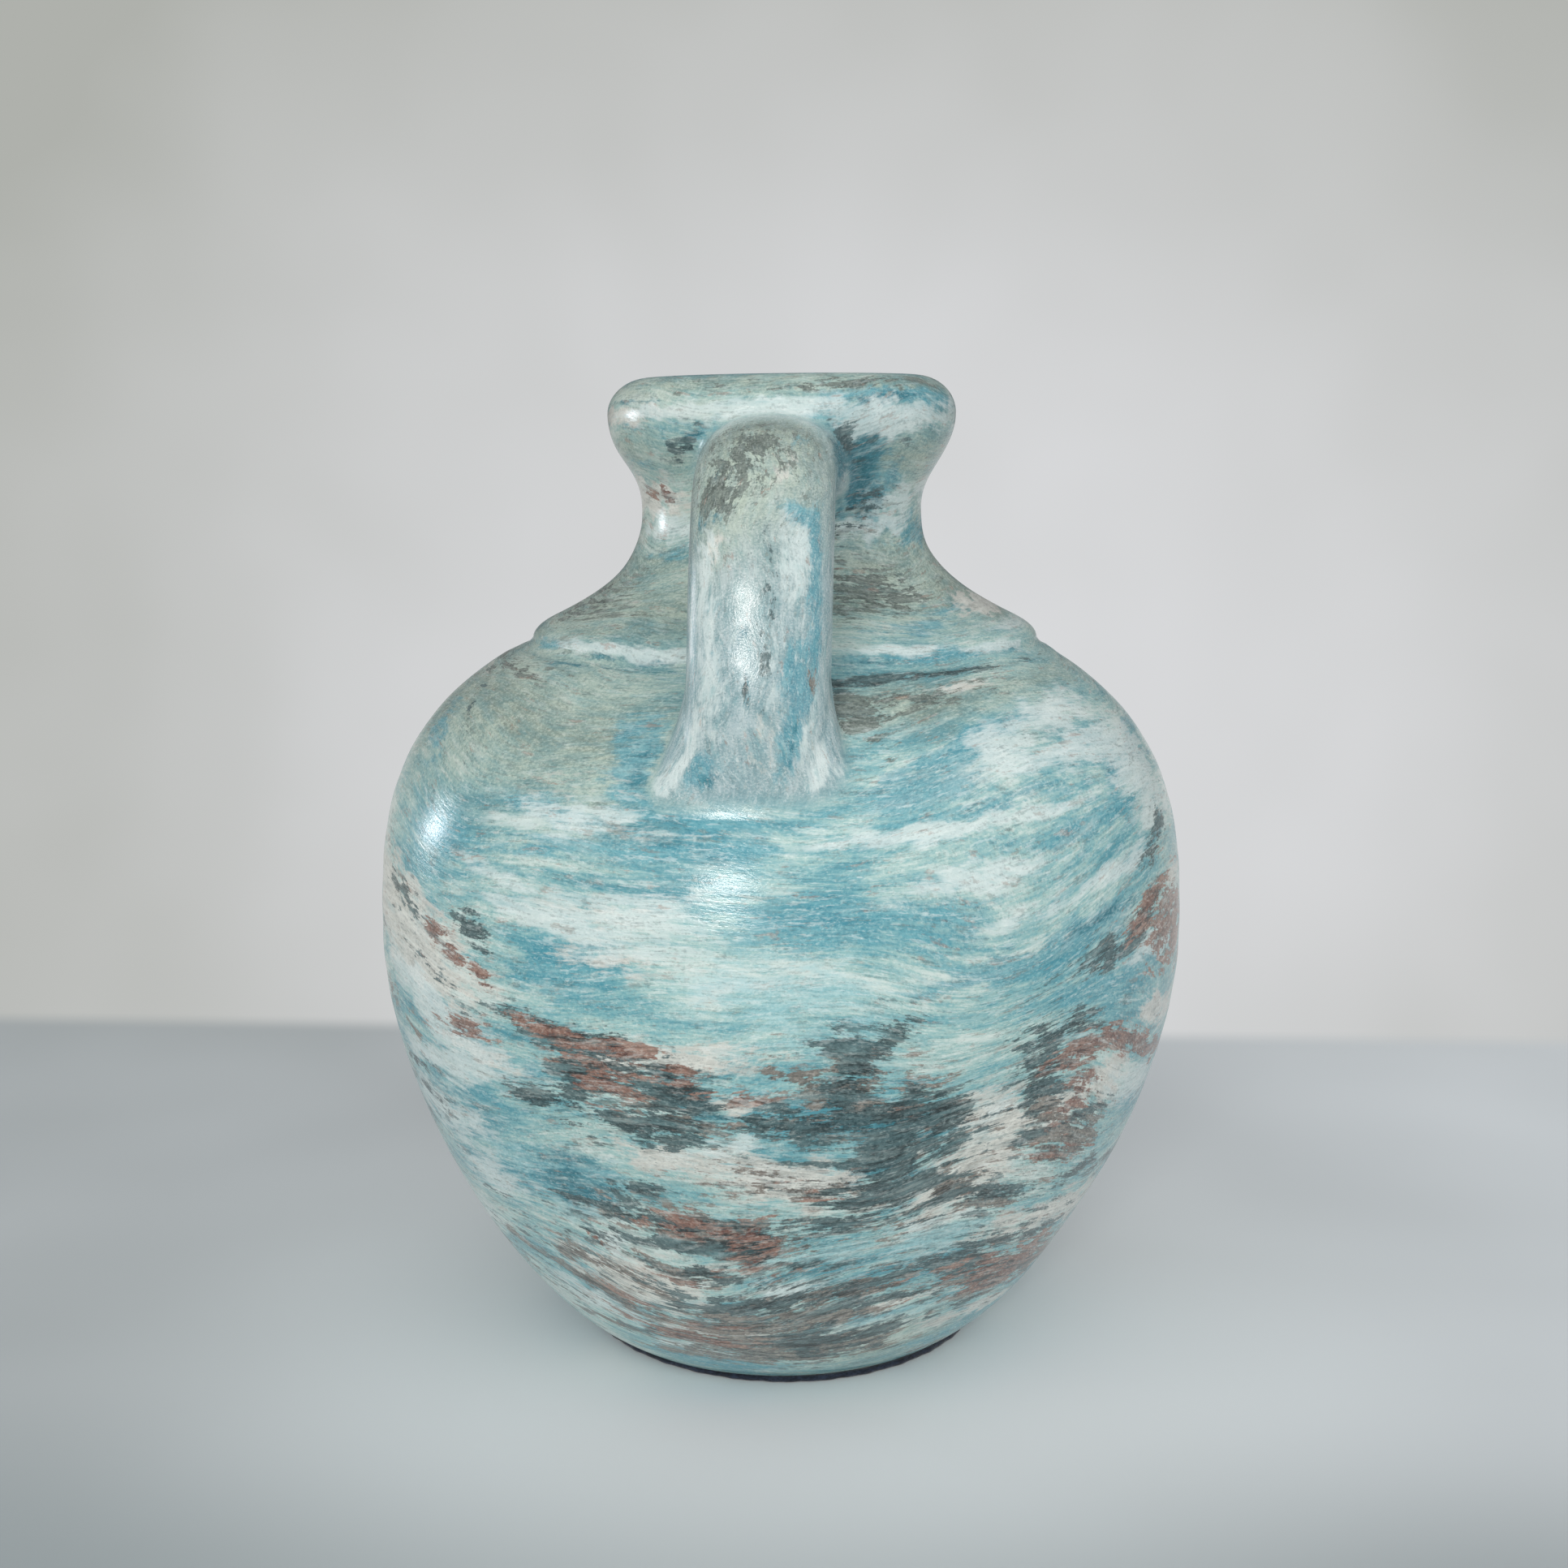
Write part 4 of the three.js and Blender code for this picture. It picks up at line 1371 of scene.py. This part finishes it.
# %% List the marks on the handle
strap_marks = [
    # The teal on the strap's right flank by the neck is partly painted shade where the strap meets the
    # neck.
    ("teal", 21, 12, 34, 12, 90, 0.9),
    ("blue", -21, 12, 34, 12, 90, 0.7),
    # The grey and dark grey over the top of the strap's bend are paint that also stands in for painted
    # shade on its upward-facing top.
    ("grey", 0, 30, 44, 40, 0, 1.0),
    ("grey", -6, 44, 34, 26, 20, 1.0),
    ("soot", -3, 32, 34, 30, 0, 0.4),
    ("soot", -8, 44, 20, 10, 40, 0.5),
    ("soot", -11, 43, 10, 6, 60, 0.7),
    ("soot", -8, 47, 8, 6, 40, 0.6),
    ("soot", -3, 33, 9, 6, 30, 0.7),
    ("slate", 0, 43, 7, 4, 90, 0.5),
    ("blue", 7, 30, 9, 4, 60, 0.6),
    ("cream", 4, 40, 20, 7, 90, 0.5),
    ("blue", 9, 51, 8, 6, 0, 1.0),
    ("blue", 13, 58, 20, 5, 90, 0.9),
    ("teal", -12, 51, 8, 7, 0, 0.6),
    ("grey", -9, 56, 16, 8, 60, 0.7),
    # This white along the strap's left edge is partly a painted highlight of the side lamp.
    ("white", -12, 62, 26, 6, 90, 0.7),
    ("cream", -10, 58, 8, 5, 60, 0.7),
    ("white", 8.5, 61, 26, 9, 90, 0.75),
    ("blue", -10, 69, 8, 5, 0, 0.5),
    ("blue", 14, 75, 30, 6, 90, 0.9),
    ("white", -10, 80, 34, 9, 90, 0.7),
    ("blue", -8, 80, 10, 2, 90, 0.7),
    ("blue", -5, 79, 8, 2, 90, 0.5),
    ("slate", 2, 72, 30, 3, 90, 0.4),
    ("teal", -2, 75, 5, 2, 90, 0.8),
    ("white", 4, 84, 30, 6, 90, 0.5),
    ("blue", 9, 86, 22, 6, 94, 1.0),
    ("blue", 7, 97, 20, 6, 76, 1.0),
    ("teal", 8, 98, 14, 2.4, 76, 0.6),
    ("brown", 13, 84, 5, 3, 90, 0.8),
    ("teal", -1.8, 88, 9, 1.9, 90, 1.0),
    ("slate", -1.8, 87, 6, 1.4, 90, 1.0),
    ("cream", 1, 99, 22, 12, 90, 0.35),
    ("white", 13, 92, 20, 6, 84, 0.6),
    ("blue", -11, 104, 12, 9, 60, 1.0),
    ("teal", -8, 105, 8, 5, 20, 0.6),
    # These four whites on the strap's flares are paint that also stands in for painted highlights where
    # the flares catch the light.
    ("white", -16, 98, 22, 6, 76, 1.0),
    ("white", -26, 108, 14, 10, 20, 1.0),
    ("white", 15, 102, 16, 5, 60, 1.0),
    ("white", 26, 106, 14, 10, -20, 1.0),
]
print(len(strap_marks), "marks on the handle")

# %% Lay them on the handle
strap_stretch = 2.2
turnover_start, turnover_full = 1, 8
strap_freedom, strap_upright = 0.35, 0.5

row_run = np.linalg.norm(np.diff(strap_true, axis=0), axis=-1)
strap_run = np.concatenate([np.zeros((1, strap_sides)), np.cumsum(row_run, axis=0)])
round_step = np.linalg.norm(np.roll(strap_true, -1, axis=1) - strap_true, axis=-1)
round_run = np.concatenate([np.zeros((len(strap), 1)), np.cumsum(round_step, axis=1)], axis=1)
front_side = strap_sides // 4
strap_across = round_run[:, front_side, None] - round_run[:, :-1]
behind = sides > 1.5 * math.pi
strap_across[:, behind] += round_run[:, -1:]
nearest_end = np.minimum(strap_run, strap_run[-1] - strap_run)
strap_share = smooth(nearest_end, turnover_start, turnover_full)
strap_azimuth = np.arctan2(strap_true[..., 0], -strap_true[..., 1])
strap_climb = arc_at(strap_true[..., 2])
strap_weights, strap_comb = lay_on_pot(strap_azimuth, strap_climb)
strap_weights = {name: weight * (1 - strap_share) for name, weight in strap_weights.items()}
aside = wander(strap_run / wander_radius, strap_across, 5)
upright = wander(strap_run / wander_radius, strap_across, 6)
for name, across, down, length, breadth, tilt, load in strap_marks:
    sideways = strap_across - across + strap_freedom * aside
    upwards = down - strap_run + strap_upright * upright
    weight = oval(sideways, upwards, length, breadth, tilt) * strap_share
    strap_weights[name] = 1 - (1 - strap_weights[name]) * (1 - load * weight)
pot_way = np.stack([strap_true[..., 0], strap_true[..., 1], strap_climb + strap_comb], axis=-1)
strap_way = np.stack([strap_stretch * strap_run, np.zeros_like(strap_run), strap_across], axis=-1)
print("the handle's marks take over", turnover_full, "mm from its ends")

# %% Build the handle
fields = {"grain": pot_way, "strap_grain": strap_way, "strap_share": strap_share}
fields.update(strap_weights)
fields["inside"] = np.zeros_like(strap_run)
ends = np.stack([hand_made(neck_deep), hand_made(foot_deep)])
closed_rows = np.concatenate([ends[:1], strap, ends[1:]])
closed_normals = np.concatenate([strap_normals[:1], strap_normals, strap_normals[-1:]])
fields = {name: np.concatenate([f[:1], f, f[-1:]]) for name, f in fields.items()}
hidden_pairs = [0, len(closed_rows) - 2]
handle = clay_mesh("handle_glazed", closed_rows, closed_normals, fields, True, hidden_pairs)
face_line = [strap_run[:, front_side], strap_true[:, front_side, 2]]
levels = np.interp(np.arange(0, strap_run.max(), 15), *face_line).round().astype(int).tolist()
print("handle", len(handle.data.polygons), "faces; its face every 15 mm is at the levels", levels)

# %% [markdown]
# ## Felt
# A sheet of navy felt is glued under the foot and trimmed by hand, so its edge wanders and is a
# little ragged, and it bulges where the scissors pressed it.

# %% Cut the felt
felt_overhang, felt_bulge = 0.9, 1.4
bulge_azimuth, bulge_spread = 40, 40
drawn_thickness = 1.5
# The felt's section, as insets from its edge and levels, in millimetres.
felt_section = [(12, 0), (0.5, 0), (0.1, 0.25), (0, 0.75), (0.15, 1.3), (0.6, 1.5), (12, 1.5)]

felt_high = level_of("base_pad", 1)
felt_points = solid_points("base_pad")
felt_azimuths = np.arctan2(felt_points[:, 0], -felt_points[:, 1])
felt_radii = np.hypot(felt_points[:, 0], felt_points[:, 1])
order = np.argsort(felt_azimuths)
azimuth = np.linspace(0, 2 * math.pi, turns, endpoint=False)
wrapped = np.angle(np.exp(1j * azimuth))
cut = np.interp(wrapped, felt_azimuths[order], felt_radii[order], period=2 * math.pi)
bulge = np.exp(-(((np.degrees(wrapped) - bulge_azimuth) / bulge_spread) ** 2))
felt_edge = cut + felt_overhang + felt_bulge * bulge
fluff = 0.12 * np.sin(31 * azimuth) + 0.08 * np.sin(67 * azimuth + 1.3)
felt_rows = []
for inset, level in felt_section:
    radius = felt_edge - inset + fluff * (inset < 1)
    height = np.full_like(radius, level * felt_high / drawn_thickness)
    row = np.stack([radius * np.sin(azimuth), -radius * np.cos(azimuth), height], axis=-1)
    felt_rows.append(row)
felt_rows = np.array(felt_rows)
flat_faces = [0, len(felt_section) - 2]
felt = clay_mesh("base_pad_felt", felt_rows, normals_of(felt_rows), {}, True, flat_faces)
print("felt", round(float(cut.min()), 1), "to", round(float(cut.max()), 1), "mm in radius")

# %% [markdown]
# ## Brushed glaze
# The finish is built up as the painter built it. First come the paints. Each has two tones, which
# the brush leaves mixed, lies more or less firm, and has a hard or a soft edge. The brown, the dark
# grey, the slate and the rust were dabbed on dry, so they stay broken and never close over what lies
# below. The dark grey is mostly painted shade, and the grey also carries painted shade on the tops.

# %% Choose the paints
palette = {
    "sea": "4F8F9C",
    "aqua": "7BABB0",
    "pale": "A3C1BD",
    "foam": "CBD7D2",
    "grey": ("77857B", "B4C0B2"),
    "blue": ("267B8F", "68A5B0"),
    "teal": ("13505F", "377F8D"),
    "cream": ("E6E3DB", "C2BEB6"),
    "white": ("E4EAE7", "BFCECD"),
    "brown": ("332F2C", "8E847B"),
    "slate": ("1A2A2F", "586E70"),
    # The dark grey is mostly painted shade: it lies on upward-facing tops, the collar's sides, under the
    # collar and beside the handle.
    "soot": ("343A38", "7C867F"),
    "rust": ("5A2B22", "9F7F71"),
    "mist": ("88B6BC", "A9CDCF"),
    "lilac": ("7F979B", "ABB8BC"),
    "plain": ("C3D3CD", "D5DED8"),
    "ink": "20292B",
    "chalk": "DFE6E4",
    "light": "DDE4E0",
    "dark": "4A5D60",
}
wash_stops = [(0, "sea"), (0.32, "aqua"), (0.7, "pale"), (1, "foam")]
broken = ("brown", "slate", "soot", "rust")
broken_firmness = 0.92
firmness = {"mist": 0.75, "grey": 0.95, "blue": 0.75, "teal": 0.8, "cream": 0.85, "white": 0.8}
softness = {"mist": 0.8, "blue": 0.75, "teal": 0.6, "cream": 0.6, "white": 0.75}
dark_and_shade_shares = {"slate": 0.9, "brown": 0.7, "rust": 0.6, "soot": 0.5}
cover_shares = {"grey": 0.5, "slate": 0.45, "brown": 0.35}


def tone(name):
    """A colour of the palette that has one tone."""
    return paint(palette[name])


def toned(share, name):
    """A colour of the palette between its two tones."""
    first, second = (paint(code) for code in palette[name])
    return mixed(share, first, second)


print(len(palette), "colours, of which", len(broken), "lie broken")

# %% [markdown]
# ## Brushes
# A brush leaves streaks, so each brush is a noise drawn out along the grain. The grain was laid on
# the clay as a field that gives a place round the jug and up the clay, and slow noise bends it here,
# as a hand bends a stroke. An image could hold such streaks too, but noise stays sharp at any
# distance. Each brush says how long and how broad its streaks are in millimetres, where in the noise
# it is read, the noise's detail and roughness, and which of the two bent grains it follows.

# %% Make the brushes
brushes = {
    "broad": (40, 17, 3.1, 2.0, 0.5, 0),
    "band": (18, 3.6, 17.9, 4.0, 0.65, 0),
    "bristle": (6, 0.55, 11.3, 2.0, 0.65, 0),
    "crossing": (8, 0.7, 5.3, 2.0, 0.65, 1),
    "grit": (1.0, 0.6, 7.7, 2.0, 0.75, 0),
    "ink": (8, 1.3, 131.7, 3.0, 0.7, 1),
    "sweep": (22, 2.0, 83.5, 4.0, 0.65, 1),
    "daub": (9, 4.0, 91.3, 4.0, 0.7, 0),
    "chalk": (6, 1.0, 151.9, 3.0, 0.7, 1),
    "scratch": (7, 0.6, 47.9, 2.0, 0.65, 1),
    "speck": (0.9, 0.6, 53.9, 2.0, 0.75, 0),
}
for order, paint_name in enumerate(paints):
    brushes["streak " + paint_name] = (16, 2.0, 23.1 + 5 * order, 4.0, 0.65, order % 2)
    brushes["dab " + paint_name] = (6, 3.4, 61.7 + 7 * order, 4.0, 0.75, 0)
print(len(brushes), "brushes, the finest", min(brush[1] for brush in brushes.values()), "mm broad")

# %% Follow the grain
grain_shifts = (0, 300)
# The patches of the bending noise and how far it bends, in millimetres.
pot_bends = (42, 11)
strap_bends = (30, 10)


class Grain:
    """The brushed grain of one material. On the strap it turns to run along the strap."""

    def __init__(self, start, on_strap):
        self.start = start
        self.strap_share = self.field("strap_share") if on_strap else None
        self.pot_ways = [self.bent("grain", shift, *pot_bends) for shift in grain_shifts]
        if on_strap:
            self.strap_ways = [self.bent("strap_grain", shift, *strap_bends) for shift in grain_shifts]
        self.used = {}

    def field(self, name, out=2):
        """A field of the mesh: output 1 gives it as a vector, and 2 as a number."""
        return self.start.node("ShaderNodeAttribute", {"attribute_name": name}, out=out)

    def bent(self, name, shift, patch, reach):
        """A grain field bent up and down by noise, in patches of a size and by up to a reach."""
        way = self.field(name, 1)
        wave = way.shifted(shift, 0, 0).scaled(1 / patch, 1 / patch, 1 / patch).noise(0.0, 0.5, out=1)
        settings = {"operation": "MULTIPLY_ADD"}
        return wave.node("ShaderNodeVectorMath", settings, _0=wave, _1=(0, 0, reach), _2=way)

    def brush(self, name):
        """A brush's noise, made once and then used again."""
        if name not in self.used:
            self.used[name] = self.brushed(*brushes[name])
        return self.used[name]

    def brushed(self, along, across, shift, detail, roughness, hand):
        """Noise drawn out along one of the two bent grains."""

        def read(way):
            scaled = way.scaled(1 / along, 1 / along, 1 / across)
            return scaled.shifted(shift, 0, 2.7 * shift).noise(detail, roughness)

        on_pot = read(self.pot_ways[hand])
        if self.strap_share is None:
            return on_pot
        return on_pot * (1 - self.strap_share) + read(self.strap_ways[hand]) * self.strap_share

    def blend(self, **shares):
        """Several brushes added up, each by its share."""
        return sum(self.brush(name) * share for name, share in shares.items())

    def fields(self, shares):
        """Several fields added up, each by its share."""
        return sum(self.field(name) * share for name, share in shares.items())


print("the grain is bent by up to", pot_bends[1], "mm on the pot and", strap_bends[1], "mm on the strap")

# %% [markdown]
# ## Coats
# A mottled aqua wash goes on first. Then each paint is dragged over it with a dry brush, which
# leaves it only where the bristles touched: the mark's weight is compared with the noise. Last come
# fine ink lines in the dark places, a thin veil of the wash's own pale tones, chalky strokes, and
# specks of light and dark.


# %% Lay the wash and the paints
def wash_coat(grain):
    """The mottled aqua ground, which turns to lilac grey on the strap."""
    share = grain.blend(broad=0.36, band=0.34, crossing=0.18, grit=0.12).above(0.37, 0.63)
    stops = [(place, tone(name)) for place, name in wash_stops]
    colour = share.node("ShaderNodeValToRGB", {"stops": stops}, _0=share)
    if grain.strap_share is None:
        return colour
    lilac = toned(grain.blend(band=0.6, grit=0.4).above(0.4, 0.6), "lilac")
    return mixed(grain.strap_share * 0.8, colour, lilac)


def paint_coat(grain, name, colour):
    """One paint, dragged over the colour below it."""
    weight = grain.field(name)
    streak, dab = grain.brush("streak " + name), grain.brush("dab " + name)
    drawn = (streak * 0.45 + dab * 0.4 + grain.brush("bristle") * 0.15).above(0.38, 0.62)
    speckle = streak * 0.35 + dab * 0.35 + grain.brush("grit") * 0.3
    if name in broken:
        mask = (drawn + weight).above(0.88, 1.12)
    elif name == "grey":
        mask = weight * (drawn * 0.4 + 0.7)
        speckle = dab * 0.4 + grain.blend(broad=0.3, grit=0.3)
    else:
        mask = (drawn * 0.8 + weight * 1.45).above(0.85, 0.85 + softness[name])
    tones = toned(speckle.above(0.38, 0.62), name)
    return mixed(mask * firmness.get(name, broken_firmness), colour, tones)


def last_coats(grain, colour):
    """The ink, the veil, the chalk and the specks, which grey and dark paints partly hide."""
    dark_and_shade = grain.fields(dark_and_shade_shares)
    # The weight of the dark paints, some of which are painted shade; ink lines and dark specks gather
    # there.
    bare = 1 - grain.fields(cover_shares)
    ink = grain.brush("ink").above(0.51, 0.58) * dark_and_shade
    colour = mixed(ink * 0.7, colour, tone("ink"))
    thin = mixed(grain.brush("band").above(0.4, 0.6), tone("aqua"), tone("foam"))
    veil = grain.blend(sweep=0.6, daub=0.4).above(0.5, 0.64)
    colour = mixed(veil * 0.45 * bare, colour, thin)
    chalk = grain.brush("chalk").above(0.57, 0.64)
    colour = mixed(chalk * 0.32 * bare, colour, tone("chalk"))
    light = grain.blend(bristle=0.45, grit=0.55).above(0.51, 0.7)
    colour = mixed(light * 0.34 * bare, colour, tone("light"))
    dark = grain.blend(scratch=0.5, speck=0.5).above(0.5, 0.66)
    return mixed(dark * (0.34 + dark_and_shade * 0.25), colour, tone("dark"))


print("the coats are the wash,", ", ".join(paints), "and the last specks")

# %% [markdown]
# ## Varnish
# A thin varnish goes over everything and keeps the ridges of the bristles. It is smooth enough to
# show the lamps, and a little uneven. Inside the mouth the pot has a plain pale glaze.

# %% Mix the glaze
varnish_roughness, varnish_unevenness = 0.12, 0.1
varnish_bending = 1.5
ridge_height, ridge_strength = 0.0002, 0.4


def glaze(name, on_strap):
    """The brushed glaze, from the wash to the varnish."""
    material, start, shader = new_material(name)
    grain = Grain(start, on_strap)
    colour = wash_coat(grain)
    for paint_name in paints:
        colour = paint_coat(grain, paint_name, colour)
    colour = last_coats(grain, colour)
    plain = toned(grain.brush("broad").above(0.35, 0.65), "plain")
    feed(shader, "Base Color", mixed(grain.field("inside"), colour, plain))
    uneven = grain.blend(bristle=varnish_unevenness, grit=varnish_unevenness)
    feed(shader, "Roughness", varnish_roughness + uneven)
    ridges = grain.blend(bristle=0.5, grit=0.5)
    bump = start.node("ShaderNodeBump", Height=ridges, Strength=ridge_strength, Distance=ridge_height)
    feed(shader, "Normal", bump)
    shader.inputs["IOR"].default_value = varnish_bending
    return material


glazes = {"pot": glaze("painted ceramic", False), "strap": glaze("handle ceramic", True)}
for piece in sections.values():
    piece.data.materials.append(glazes["pot"])
handle.data.materials.append(glazes["strap"])
print("the glaze has", len(glazes["pot"].node_tree.nodes), "nodes")

# %% [markdown]
# ## Felt finish
# Felt is wool fibre pressed flat: nearly black navy, matt, with a faint sheen where the fibres stand
# up at the cut edge.

# %% Dye the felt
felt_dark, felt_light = paint("10141C"), paint("2A3242")
# Fibres and tufts are counted per metre.
fibres_across, fibres_up = 1400, 2600
tufts_across, tufts_up = 260, 420
felt_roughness, felt_gloss, felt_sheen = 0.95, 0.2, 0.25
fibre_height, fibre_strength = 0.0003, 0.6

felt_material, start, felt_shader = new_material("navy felt")
spot = start.node("ShaderNodeTexCoord", out=3)
fibre = spot.scaled(fibres_across, fibres_across, fibres_up).noise(4.0, 0.7)
tuft = spot.scaled(tufts_across, tufts_across, tufts_up).noise(3.0, 0.6)
dye = (fibre * 0.6 + tuft * 0.4).above(0.4, 0.62)
feed(felt_shader, "Base Color", mixed(dye, felt_dark, felt_light))
nap = start.node("ShaderNodeBump", Height=fibre, Strength=fibre_strength, Distance=fibre_height)
feed(felt_shader, "Normal", nap)
felt_shader.inputs["Roughness"].default_value = felt_roughness
felt_shader.inputs["Specular IOR Level"].default_value = felt_gloss
felt_shader.inputs["Sheen Weight"].default_value = felt_sheen
felt.data.materials.append(felt_material)
print("felt dyed, with", len(felt_material.node_tree.nodes), "nodes")

# %% [markdown]
# ## One assembly
# Nothing moves, so every piece rides on the root, and the solids that each piece stands in for are
# hidden.

# %% Bind the pieces
for node, piece in sections.items():
    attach(piece, "root")
    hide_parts(node)
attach(handle, "root")
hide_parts("handle_upper_root", "handle", "handle_lower_root")
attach(felt, "root")
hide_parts("base_pad")
